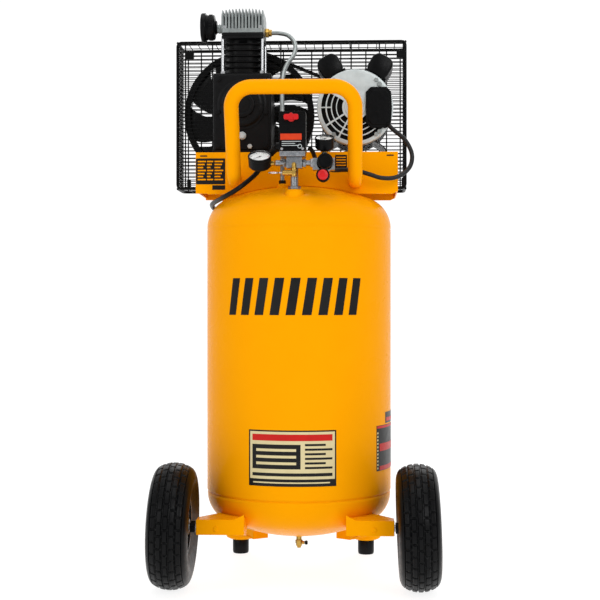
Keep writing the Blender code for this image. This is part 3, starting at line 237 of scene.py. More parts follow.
def piece(name, parts, finish, body="frame", stands_for=(), bevel=0.0, segments=2, angle=35):
    """Put parts into one object at the origin, give it a finish and let it ride on its body."""
    verts, faces, count = [], [], 0
    for part_verts, part_faces in parts:
        verts.append(part_verts)
        faces += [[index + count for index in face] for face in part_faces]
        count += len(part_verts)
    mesh = bpy.data.meshes.new(name)
    mesh.from_pydata(np.concatenate(verts), [], faces)
    bm = bmesh.new()
    bm.from_mesh(mesh)
    bmesh.ops.remove_doubles(bm, verts=bm.verts, dist=1e-6)
    bmesh.ops.dissolve_degenerate(bm, edges=bm.edges, dist=1e-7)
    bmesh.ops.recalc_face_normals(bm, faces=bm.faces)
    bm.to_mesh(mesh)
    bm.free()
    mesh.shade_smooth()
    mesh.set_sharp_from_angle(angle=math.radians(angle))
    made = bpy.data.objects.new(name, mesh)
    bpy.context.scene.collection.objects.link(made)
    if bevel:
        change = made.modifiers.new("edges", "BEVEL")
        change.width = bevel
        change.segments = segments
        change.limit_method = "ANGLE"
        change.angle_limit = math.radians(angle)
        change.harden_normals = True
    return dressed(made, finish, body, stands_for)


def dressed(made, finish, body, stands_for=()):
    """Give an object its finish, its body and the nodes it stands for."""
    made.data.materials.clear()
    made.data.materials.append(material(finish))
    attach(made, body)
    if stands_for:
        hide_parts(*stands_for)
    return made


def plain(node, finish):
    """Give a node of the frame a finish of its own."""
    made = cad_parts[node]
    for n in range(len(made.material_slots)):
        made.material_slots[n].link = "OBJECT"
        made.material_slots[n].material = material(finish)


# ---------------------------------------------------------------- finishes

FINISHES = {
    # slot, two colours that mottle, range of roughness, metal, spots per metre, and the bump's grain: spots
    # per metre, strength and height. Shine is the level of plain reflection and tint is its colour.
    "amber_enamel": dict(slot="yellow_paint", a=(0.95, 0.365, 0.0012), b=(0.93, 0.348, 0.0008),
                         rough=(0.24, 0.32), shine=0.04, tint=(1.0, 0.42, 0.03), spots=9,
                         grain=(900, 0.03, 0.0001)),
    "black_enamel": dict(slot="black_paint", a=(0.0016, 0.0016, 0.0019), b=(0.0032, 0.0032, 0.0036),
                         rough=(0.22, 0.34), shine=0.16, spots=25, grain=(1200, 0.08, 0.0003)),
    "black_wire": dict(slot="black_paint", a=(0.0012, 0.0012, 0.0014), b=(0.0024, 0.0024, 0.0027),
                       rough=(0.32, 0.45), shine=0.10, spots=60, grain=(1500, 0.05, 0.0002)),
    "black_casting": dict(slot="cast_iron", a=(0.0016, 0.0016, 0.0019), b=(0.0040, 0.0040, 0.0045),
                          rough=(0.30, 0.46), shine=0.14, spots=45, grain=(520, 0.35, 0.0006)),
    "head_casting": dict(slot="aluminium", a=(0.30, 0.33, 0.325), b=(0.20, 0.22, 0.22), rough=(0.36, 0.50),
                         metal=0.6, spots=70, grain=(650, 0.25, 0.0004)),
    "bell_casting": dict(slot="bell_aluminium", a=(0.58, 0.63, 0.63), b=(0.47, 0.51, 0.51), rough=(0.36, 0.52),
                         metal=0.30, spots=50, grain=(700, 0.22, 0.0004)),
    "drawn_aluminium": dict(slot="aluminium", a=(0.36, 0.39, 0.38), b=(0.26, 0.28, 0.28), rough=(0.28, 0.40),
                            metal=0.8, spots=120, grain=(900, 0.08, 0.0002)),
    "zinc_plate": dict(slot="zinc", a=(0.40, 0.42, 0.44), b=(0.20, 0.21, 0.23), rough=(0.22, 0.40),
                       metal=0.95, spots=110, grain=(800, 0.15, 0.0003)),
    "turned_brass": dict(slot="brass", a=(0.66, 0.42, 0.10), b=(0.40, 0.23, 0.05), rough=(0.20, 0.34),
                         metal=1.0, spots=130, grain=(900, 0.08, 0.0002)),
    "bright_steel": dict(slot="steel", a=(0.66, 0.67, 0.68), b=(0.46, 0.47, 0.49), rough=(0.18, 0.34),
                         metal=1.0, spots=150, grain=(1000, 0.08, 0.0002)),
    "tread_rubber": dict(slot="tyre_rubber", a=(0.0014, 0.0015, 0.0019), b=(0.0028, 0.0029, 0.0033),
                         rough=(0.28, 0.42), shine=0.12, spots=35, grain=(700, 0.30, 0.0005)),
    "cord_rubber": dict(slot="rubber", a=(0.0016, 0.0016, 0.0018), b=(0.0034, 0.0034, 0.0038),
                        rough=(0.28, 0.42), shine=0.16, spots=80, grain=(900, 0.15, 0.0003)),
    "moulded_black": dict(slot="black_plastic", a=(0.0016, 0.0017, 0.0020), b=(0.0032, 0.0033, 0.0037),
                          rough=(0.26, 0.40), shine=0.10, spots=60, grain=(1600, 0.22, 0.0003)),
    "moulded_red": dict(slot="red_plastic", a=(0.62, 0.005, 0.006), b=(0.48, 0.004, 0.005), rough=(0.24, 0.36),
                        shine=0.35, spots=60, grain=(1500, 0.10, 0.0002)),
    "dial_white": dict(slot="black_plastic", a=(0.86, 0.87, 0.85), b=(0.78, 0.79, 0.77), rough=(0.40, 0.50),
                       spots=60, grain=(1500, 0.02, 0.0001)),
    "label_cream": dict(slot="yellow_paint", a=(0.70, 0.60, 0.34), b=(0.64, 0.54, 0.29), rough=(0.34, 0.44),
                        shine=0.2, spots=30, grain=(1200, 0.03, 0.0001)),
    "label_black": dict(slot="black_paint", a=(0.0050, 0.0048, 0.0045), b=(0.0085, 0.0080, 0.0075),
                        rough=(0.30, 0.40), shine=0.2, spots=30, grain=(1200, 0.03, 0.0001)),
    "label_red": dict(slot="red_plastic", a=(0.58, 0.010, 0.006), b=(0.50, 0.008, 0.005), rough=(0.30, 0.42),
                      shine=0.2, spots=30, grain=(1200, 0.03, 0.0001)),
    "stripe_orange": dict(slot="red_plastic", a=(0.66, 0.050, 0.008), b=(0.56, 0.036, 0.006), rough=(0.30, 0.42),
                          shine=0.25, spots=60, grain=(1200, 0.03, 0.0001)),
    "gauge_glass": dict(slot="black_plastic", a=(1.0, 1.0, 1.0), b=(0.97, 0.98, 0.98), rough=(0.02, 0.06),
                        clear=1.0, spots=40, grain=(300, 0.01, 0.0001)),
    "lead_grey": dict(slot="rubber", a=(0.0050, 0.0050, 0.0055), b=(0.0090, 0.0090, 0.0096), rough=(0.34, 0.48),
                      shine=0.3, spots=80, grain=(900, 0.15, 0.0003)),
}


def material(name):
    """A finish as nodes: two colours mottled by noise, roughness that wanders, and a fine grain as bump."""
    if name in bpy.data.materials:
        return bpy.data.materials[name]
    look = FINISHES[name]
    made = bpy.data.materials.new(name)
    made.use_nodes = True
    nodes, links = made.node_tree.nodes, made.node_tree.links
    shader = nodes["Principled BSDF"]
    place = nodes.new("ShaderNodeTexCoord")
    mottle = nodes.new("ShaderNodeTexNoise")
    mottle.inputs["Scale"].default_value = look["spots"]
    mottle.inputs["Detail"].default_value = 5.0
    mottle.inputs["Roughness"].default_value = 0.6
    links.new(place.outputs["Object"], mottle.inputs["Vector"])
    spread = nodes.new("ShaderNodeMapRange")
    spread.inputs["From Min"].default_value = 0.30
    spread.inputs["From Max"].default_value = 0.72
    links.new(mottle.outputs["Fac"], spread.inputs["Value"])
    mix = nodes.new("ShaderNodeMix")
    mix.data_type = "RGBA"
    mix.inputs["A"].default_value = (*look["a"], 1)
    mix.inputs["B"].default_value = (*look["b"], 1)
    links.new(spread.outputs["Result"], mix.inputs["Factor"])
    links.new(mix.outputs["Result"], shader.inputs["Base Color"])
    wander = nodes.new("ShaderNodeTexNoise")
    wander.inputs["Scale"].default_value = look["spots"] * 2.7
    wander.inputs["Detail"].default_value = 3.0
    links.new(place.outputs["Object"], wander.inputs["Vector"])
    rough = nodes.new("ShaderNodeMapRange")
    rough.inputs["From Min"].default_value = 0.3
    rough.inputs["From Max"].default_value = 0.7
    rough.inputs["To Min"].default_value, rough.inputs["To Max"].default_value = look["rough"]
    links.new(wander.outputs["Fac"], rough.inputs["Value"])
    links.new(rough.outputs["Result"], shader.inputs["Roughness"])
    size, height, depth = look["grain"]
    grain = nodes.new("ShaderNodeTexNoise")
    grain.inputs["Scale"].default_value = size
    grain.inputs["Detail"].default_value = 4.0
    links.new(place.outputs["Object"], grain.inputs["Vector"])
    bump = nodes.new("ShaderNodeBump")
    bump.inputs["Strength"].default_value = height
    bump.inputs["Distance"].default_value = depth
    links.new(grain.outputs["Fac"], bump.inputs["Height"])
    links.new(bump.outputs["Normal"], shader.inputs["Normal"])
    shader.inputs["Metallic"].default_value = look.get("metal", 0.0)
    shader.inputs["Specular IOR Level"].default_value = look.get("shine", 0.5)
    shader.inputs["Specular Tint"].default_value = (*look.get("tint", (1.0, 1.0, 1.0)), 1)
    shader.inputs["Transmission Weight"].default_value = look.get("clear", 0.0)
    made.diffuse_color = (*look["a"], 1)
    return made


# ---------------------------------------------------------------- tank

def head(depth, radius, knuckle=0.070, steps=22):
    """A dished head from its edge to its middle: a knuckle arc that a shallow crown arc meets."""
    side = radius - knuckle
    crown = (side ** 2 + depth ** 2 - knuckle ** 2) / (2 * (depth - knuckle))
    meet = math.atan2(crown - depth, side)
    a = np.linspace(0, meet, steps)
    b = np.linspace(meet, math.pi / 2, steps)[1:]
    r = np.concatenate([side + knuckle * np.cos(a), crown * np.cos(b)])
    h = np.concatenate([knuckle * np.sin(a), depth - crown + crown * np.sin(b)])
    r[-1] = 0.0
    return r, h


def dome_height(r):
    """Height of the top head at a distance from the tank's axis."""
    rs, hs = head(TOP_Z - TOP_SEAM, TANK_R, steps=60)
    return TOP_SEAM + np.interp(r, rs[::-1], hs[::-1])


def make_tank(look):
    """The receiver: two dished heads on a rolled shell, with a sunk weld at each seam, and its ports."""
    r, h = head(BOTTOM_SEAM - BOTTOM_Z, TANK_R - 0.0010)
    bottom = np.stack([r[::-1], BOTTOM_SEAM - 0.004 - h[::-1] * (0.096 / 0.100)], -1)
    seam = [(TANK_R - 0.0034, BOTTOM_SEAM - 0.0015), (TANK_R - 0.0030, BOTTOM_SEAM),
            (TANK_R - 0.0004, BOTTOM_SEAM + 0.0022), (TANK_R, BOTTOM_SEAM + 0.0040)]
    rise = [(TANK_R, z) for z in np.linspace(BOTTOM_SEAM + 0.02, TOP_SEAM - 0.004, 12)]
    crest = [(TANK_R - 0.0007, TOP_SEAM - 0.0018)]
    r, h = head(TOP_Z - TOP_SEAM, TANK_R)
    profile = np.concatenate([bottom, seam, rise, crest, np.stack([r, TOP_SEAM + h], -1)])
    port = float(dome_height(abs(PORT[1] - AXIS_Y)))
    boss = turned([(0.0085, -0.010), (0.0205, -0.010), (0.0205, 0.0010), (0.0185, 0.0040), (0.0170, 0.0068),
                   (0.0095, 0.0068), (0.0090, 0.0050)], (*PORT, port), steps=48)
    bung = turned([(0.0068, 0.012), (0.0200, 0.012), (0.0200, 0.003), (0.0180, 0.0), (0.0075, 0.0),
                   (0.0068, 0.001)],
                  (0, AXIS_Y, BOTTOM_Z - 0.0035), steps=48)
    piece("tank_surface", [turned(profile, (0, AXIS_Y, 0), steps=160), boss, bung], "amber_enamel",
          stands_for=("air_tank",), angle=50)
    valve = [turned([(0, 0.056), (0.0040, 0.056), (0.0047, 0.0575), (0.0050, 0.0600), (0.0064, 0.0606),
                     (0.0068, 0.0615), (0.0068, 0.0660)], (0, AXIS_Y, 0), steps=40),
             hexagon(0.0080, 0.0085, (0, AXIS_Y, 0.0655)), rod(0.0060, 0.014, (0, AXIS_Y, 0.0740)),
             rod(0.0036, 0.0125, (0, AXIS_Y, 0.0672), (1, 0, 0))]
    piece("drain_cock", valve, "turned_brass", stands_for=("drain_valve",))
    key = [rod(0.0042, 0.0065, (0.0129, AXIS_Y, 0.0672), (1, 0, 0)),
           box((0.0150, AXIS_Y - 0.0100, 0.0642), (0.0180, AXIS_Y + 0.0100, 0.0702))]
    piece("drain_key_wing", key, "moulded_black", "drain_key", ("drain_handle",), bevel=0.0008)


def make_graphics(look):
    """Plain decals on the tank: a band of slanted bars, a bordered notice and a dark side panel."""
    bars, count = [], look.bar_count
    edges = np.linspace(math.radians(-44.2), math.radians(42.6), count + 1)
    pitch = edges[1] - edges[0]
    z = np.linspace(0.5747, 0.6520, 12)
    for n in range(count):
        lean = (z - z[0]) / (z[-1] - z[0]) * pitch * 0.35
        turn = edges[n] + np.linspace(0.02, 0.60, 16)[None, :] * pitch + lean[:, None]
        high = np.repeat(z[:, None], 16, 1)

        def at(lift, turn=turn, high=high):
            return np.stack([(TANK_R + lift) * np.sin(turn), AXIS_Y - (TANK_R + lift) * np.cos(turn), high], -1)

        bars.append(slab(at(0.0005), at(0.0001)))
    piece("band_decal", bars, "label_black")
    left, right = math.radians(-28.4), math.radians(24.9)
    low, high = 0.2188, 0.3354
    piece("notice_border", [wrapped((left, right), np.linspace(low, high, 3))], "label_black")
    rim = math.radians(0.9)
    span, tall = right - left - 2 * rim, high - low - 0.006

    def sticker(a, b, c, d, lift):
        """A patch over a share of the notice's width and height."""
        return wrapped((left + rim + a * span, left + rim + b * span),
                       np.linspace(low + 0.003 + c * tall, low + 0.003 + d * tall, 3), lift, lift + 0.0003)

    piece("notice_paper", [sticker(0.0, 1.0, 0.11, 1.0, 0.0004)], "label_cream")
    piece("notice_heading", [sticker(0.03, 0.97, 0.83, 0.95, 0.0006)], "label_red")
    marks = [sticker(0.03, 0.60, 0.30, 0.76, 0.0006), sticker(0.03, 0.97, 0.165, 0.225, 0.0006)]
    marks += [sticker(0.65, 0.97 - 0.08 * (n % 2), 0.305 + 0.086 * n, 0.345 + 0.086 * n, 0.0006)
              for n in range(6)]
    piece("notice_marks", marks, "label_black")
    piece("notice_lines", [sticker(0.08, 0.55, c, c + 0.05, 0.0009) for c in (0.38, 0.505, 0.63)]
          + [sticker(0.04, 0.94, 0.03, 0.055, 0.0004)], "label_cream")
    piece("side_panel", [wrapped((math.radians(57.0), math.radians(88.0)), np.linspace(0.2400, 0.3370, 3)),
                         wrapped((math.radians(69.0), math.radians(88.0)), np.linspace(0.3400, 0.3640, 3))],
          "label_black")
    strips = [wrapped((math.radians(a), math.radians(88.0)), np.linspace(z0, z1, 2), 0.0004, 0.0008)
              for a, z0, z1 in ((57.6, 0.3310, 0.3360), (60.5, 0.2820, 0.2980), (60.5, 0.2410, 0.2500),
                                (70.5, 0.3440, 0.3520))]
    piece("side_strips", strips, "label_red")
    dots = [wrapped((math.radians(57.6), math.radians(58.9)), np.linspace(z0, z0 + 0.004, 2), 0.0004, 0.0008, 4)
            for z0 in np.arange(0.244, 0.326, 0.0075)]
    piece("side_dots", dots, "label_cream")


# ---------------------------------------------------------------- running gear

def wheel_place(sign):
    """A wheel's centre, and the direction of its axle, tipped by the camber."""
    centre = np.array((sign * WHEEL_X, WHEEL_Y, WHEEL_Z))
    return centre, np.array((sign * math.cos(CAMBER), 0, math.sin(CAMBER)))


def tyre_surface(sign, look):
    """A pneumatic tyre: radius = round section + blocks in rows, each row half a block round from the next.

    The section is r = m + t sin(s) ^ 0.75 and x = -w cos(s). Grooves lower r where the distance to
    a row's edge, or to the edge of a block in its row, is small.
    """
    reach, bead, half = 0.1323, 0.052, 0.0432
    middle = (reach + bead) / 2 + 0.004
    s = np.linspace(0, math.pi, 84)[None, :]
    t = np.linspace(0, math.tau, 640, endpoint=False)[:, None]
    r = middle + (reach - middle) * np.sin(s) ** 0.75 + 0 * t
    x = -half * np.cos(s) + 0 * t

    def groove(distance, width):
        return np.clip(1.5 - distance / width, 0, 1)

    row, blocks = 0.0132, 31
    number = np.round(x / row)
    along = groove((0.5 - np.abs(x / row - number)) * row, 0.0015)
    phase = (t * blocks / math.tau + 0.5 * (number % 2) + 0.10 * np.abs(x / row - number)) % 1.0
    cross = groove(np.abs(phase - 0.5) / blocks * math.tau * reach, 0.0018)
    tread = np.clip((0.0335 - np.abs(x)) / 0.0014, 0, 1)
    shoulder = np.clip((np.abs(x) - 0.0290) / 0.002, 0, 1)
    r = r - look.tread_depth * np.maximum(along, cross) * tread
    r = r + 0.0008 * shoulder * np.clip((0.0410 - np.abs(x)) / 0.002, 0, 1)
    rib = np.abs(r - 0.094) < 0.0012
    x = x + np.sign(x) * 0.0006 * rib * (np.abs(x) > 0.036)
    side = np.array([(bead, 0.027), (bead, 0.019), (bead + 0.010, 0.0175), (bead + 0.030, 0.0300),
                     (0.112, 0.0250), (0.1215, 0.0), (0.112, -0.0250), (bead + 0.030, -0.0300),
                     (bead + 0.010, -0.0175), (bead, -0.019), (bead, -0.027)])
    r = np.concatenate([r, side[:, 0][None, :] + 0 * t], 1)
    x = np.concatenate([x, side[:, 1][None, :] + 0 * t], 1)
    points = np.stack([r * np.cos(t), r * np.sin(t), x], -1)
    return grid(placed(points, *wheel_place(sign)), True, True)


def make_running_gear(look):
    """Tyres, rims, axle bolts, folded brackets and the dished feet with their rubbers."""
    for side, sign in (("left", -1), ("right", 1)):
        body = f"wheel_{side}"
        centre, axle = wheel_place(sign)
        piece(f"tyre_tread_{side}", [tyre_surface(sign, look)], "tread_rubber", body, (f"tyre_{side}",),
              angle=28)
        outer = [(0.0083, 0.034), (0.0160, 0.034), (0.0165, 0.033), (0.0165, 0.006), (0.0200, 0.0035),
                 (0.0400, 0.0035), (0.0440, 0.0060), (0.0450, 0.0125), (0.0490, 0.0165), (0.0498, 0.0270),
                 (0.0540, 0.0292), (0.0600, 0.0285), (0.0606, 0.0305), (0.0600, 0.0325), (0.0520, 0.0318),
                 (0.0510, 0.0180), (0.0468, 0.0122)]
        back = [(r, -h) for r, h in reversed(outer)]
        rim = [turned(outer + back, centre, axle, 96)]
        bolt_circle, half = 0.030, 0.0033
        for n in range(4):
            t = math.tau * (n + 0.5) / 4
            for face, way in ((half, axle), (-half, -axle)):
                spot = np.array([[bolt_circle * math.cos(t), bolt_circle * math.sin(t), face]])
                rim.append(hexagon(0.0060, 0.0045, placed(spot, centre, axle)[0], way))
        valve_at = placed(np.array([[0.0435, 0, 0.008]]), centre, axle)[0]
        rim.append(rod(0.0026, 0.018, valve_at, axle))
        piece(f"rim_{side}", rim, "black_enamel", body, (f"wheel_rim_{side}",))
        bolt = [rod(0.0078, 0.112, centre - axle * 0.072, axle),
                hexagon(0.0138, 0.0050, centre + axle * 0.0350, axle),
                hexagon(0.0119, 0.0080, centre - axle * 0.0690, axle)]
        piece(f"axle_{side}", bolt, "bright_steel", stands_for=(f"axle_bolt_{side}",))
        collar = [rod(0.0120, 0.0112, centre - axle * 0.0475, axle)]
        piece(f"axle_collar_{side}", collar, "black_enamel")
        make_bracket(side, sign)
        make_foot(side, sign)


def make_bracket(side, sign):
    """A folded bracket that runs from the bottom head to the axle, with a rivet on its front."""
    front, low, high = AXIS_Y - 0.198, 0.1165, 0.1485
    shell = [(0.106, front + 0.0015), (0.2062, front + 0.0015), (0.2062, front + 0.036),
             (0.160, AXIS_Y - 0.094), (0.106, AXIS_Y - 0.094)]
    outline = np.array(shell) * (sign, 1)
    skirt = [(0.106, low), (0.2065, low), (0.2065, high), (0.128, high), (0.115, high + 0.006),
             (0.106, high + 0.011)]
    flare = across_front(np.array(skirt) * (sign, 1), front, 0.003)
    parts = [extruded(outline, low + 0.001, high), flare]
    piece(f"bracket_{side}", parts, "amber_enamel", stands_for=(f"wheel_bracket_{side}",), bevel=0.0022,
          segments=4)
    rivet = turned([(0, 0.0018), (0.0026, 0.0022), (0.0046, 0.0015), (0.0052, 0.0), (0, -0.001)],
                   (sign * 0.165, front - 0.0001, 0.1290), (0, -1, 0), 32)
    piece(f"bracket_rivet_{side}", [rivet], "amber_enamel")


def make_foot(side, sign):
    """A dished foot pad on an arm with a riser to the bottom head, its bolt, and the rubber foot."""
    x, y = sign * 0.150, AXIS_Y + 0.235
    heading = math.atan2(y - AXIS_Y - 0.020, x)
    way = np.array((math.cos(heading), math.sin(heading)))
    across = np.array((-way[1], way[0]))
    t = heading + np.linspace(-math.radians(100), math.radians(100), 40)
    ring = np.stack([x + 0.030 * np.cos(t), y + 0.030 * np.sin(t)], -1)
    tail = [np.array((x, y)) - 0.082 * way + s * 0.022 * across for s in (1, -1)]
    outline = np.concatenate([ring, tail])
    riser = [np.array((x, y)) - way * d + across * s
             for d, s in ((0.094, 0.020), (0.060, 0.020), (0.060, -0.020), (0.094, -0.020))]
    cup = turned([(0, 0.0345), (0.0250, 0.0345), (0.0335, 0.0385), (0.0362, 0.0450), (0.0366, 0.0520),
                  (0.0345, 0.0520), (0.0335, 0.0465), (0.0300, 0.0440), (0, 0.0430)], (x, y, 0), steps=64)
    parts = [cup, extruded(outline, 0.0470, 0.0515), extruded(np.array(riser), 0.0472, 0.1660)]
    piece(f"foot_pad_{side}", parts, "amber_enamel", stands_for=(f"foot_bracket_{side}",), bevel=0.0040,
          segments=4)
    piece(f"foot_bolt_{side}", [hexagon(0.0085, 0.0050, (x, y, 0.0518)), rod(0.0125, 0.0016, (x, y, 0.0515))],
          "bright_steel")
    rubber = [turned([(0, 0), (0.0165, 0), (0.0182, 0.0012), (0.0192, 0.0060), (0.0193, 0.0330),
                      (0.0186, 0.0342), (0, 0.0342)],
                     (x, y, 0), steps=64)]
    piece(f"foot_rubber_{side}", rubber, "cord_rubber", stands_for=(f"rubber_foot_{side}",))


# ---------------------------------------------------------------- deck and handle

def make_deck(look):
    """The folded deck: a top sheet and four flanges whose lower edges follow the dome, and its labels."""
    x0, x1 = DECK_X
    y0, y1 = DECK_Y
    sheet, low = 0.003, 0.8375

    def hem(xs, y):
        r = np.hypot(xs, y - AXIS_Y)
        return np.maximum(low, np.where(r < TANK_R, dome_height(np.minimum(r, TANK_R)) + 0.0006, low))

    parts = []
    xs = np.linspace(x0 + 0.0265, x1 - 0.012, 60)
    for y in (y0, y1 - sheet):
        edge = np.concatenate([[(x0, 0.8392), (x0 + 0.0262, 0.8392)], np.stack([xs, hem(xs, y + sheet)], -1),
                               [(x1, 0.8432)]])
        outline = np.concatenate([edge, [(x1, DECK_TOP), (x0, DECK_TOP)]])
        parts.append(across_front(outline, y, sheet))
    for x in (x0, x1 - sheet):
        parts.append(box((x, y0 + 0.0005, 0.8432), (x + sheet, y1 - 0.0005, DECK_TOP - 0.0005)))
    parts.append(box((x0 + 0.0005, y0 + 0.0005, DECK_TOP - sheet), (x1 - 0.0005, y1 - 0.0005, DECK_TOP)))
    piece("deck_pan", parts, "amber_enamel", stands_for=("deck_plate",), bevel=0.0016, segments=3, angle=60)
    y = y0 - 0.0004
    # Painted shade: flat black patches on the front flange stand for the shaded openings of the deck's slots.
    slots = [across_front(rounded(0.0080, 0.0014, 0.0014) + (x, 0.9215), y, 0.0006)
             for x in (-0.2070, 0.2010, -0.145)]
    piece("deck_slot_shade", slots, "label_black")
    plates = [across_front(rounded(0.0322, 0.0284, 0.0020) + (-0.1918, 0.8879), y, 0.0006),
              across_front(rounded(0.0142, 0.0049, 0.0010) + (-0.1738, 0.8524), y, 0.0006)]
    piece("deck_label_plates", plates, "label_black")
    lines = []
    for row in range(7):
        z = 0.9080 - row * 0.0066
        for a, b in ((-0.2200, -0.2020), (-0.1995, -0.1860), (-0.1830, -0.1640)):
            lines.append(across_front([(a, z), (b - 0.003 * (row % 3), z),
                                       (b - 0.003 * (row % 3), z + 0.0030), (a, z + 0.0030)],
                                      y - 0.0003, 0.0006))
    piece("deck_label_lines", lines, "amber_enamel")
    piece("deck_plate_right", [across_front(rounded(0.0130, 0.0142, 0.001) + (0.0940, 0.9086), y, 0.0006)],
          "label_black")
    rows = [across_front(rounded(0.0105, 0.0011, 0.0004) + (0.0940, z), y - 0.0003, 0.0006)
            for z in (0.9000, 0.9058, 0.9116, 0.9174)]
    piece("deck_plate_rows", rows, "amber_enamel")


def make_handle(look):
    """The bent tube handle: a round section carried along a filleted path."""
    left, right, foot_y, foot_z = -0.135, 0.125, AXIS_Y - 0.105, 0.8640
    top_y, top_z, tube_r = AXIS_Y - 0.190, 1.0505, 0.0156
    path = filleted([(left, DECK_Y[0] - 0.0003, foot_z), (left, foot_y, foot_z), (left, top_y, top_z),
                     (right, top_y, top_z), (right, foot_y, foot_z), (right, DECK_Y[0] - 0.0003, foot_z)],
                    [0.028, 0.045, 0.045, 0.028])
    along = unit(np.gradient(path, axis=0))
    across = unit(np.cross(along, (0.02, 0.91, 0.41)))
    flat = np.abs(along @ np.array((0.0, 0.91, 0.41))) > 0.9
    across[flat] = (1.0, 0.0, 0.0)
    for n in range(1, len(across)):
        if across[n] @ across[n - 1] < 0:
            across[n] = -across[n]
    over = np.cross(across, along)
    t = np.linspace(0, math.tau, 48, endpoint=False)
    circle = np.cos(t)[None, :, None] * across[:, None] + np.sin(t)[None, :, None] * over[:, None]
    points = path[:, None] + tube_r * circle
    verts, faces = grid(points, loop_cols=True)
    faces += [list(range(48)), list(range(len(verts) - 48, len(verts)))]
    piece("handle_bar", [(verts, faces)], "amber_enamel", stands_for=("handle_tube",))


# ---------------------------------------------------------------- pump

def loft(rings, closed=False):
    """A skin over rings of equally many points, closed into a loop or capped at both ends."""
    rings = np.asarray(rings, float)
    verts, faces = grid(rings, loop_rows=closed, loop_cols=True)
    if not closed:
        count = rings.shape[1]
        faces += [list(range(count)), list(range(len(verts) - count, len(verts)))]
    return verts, faces


def level(outline, z):
    """An outline in X and Y as points at one height."""
    return np.concatenate([outline, np.full((len(outline), 1), z)], 1)


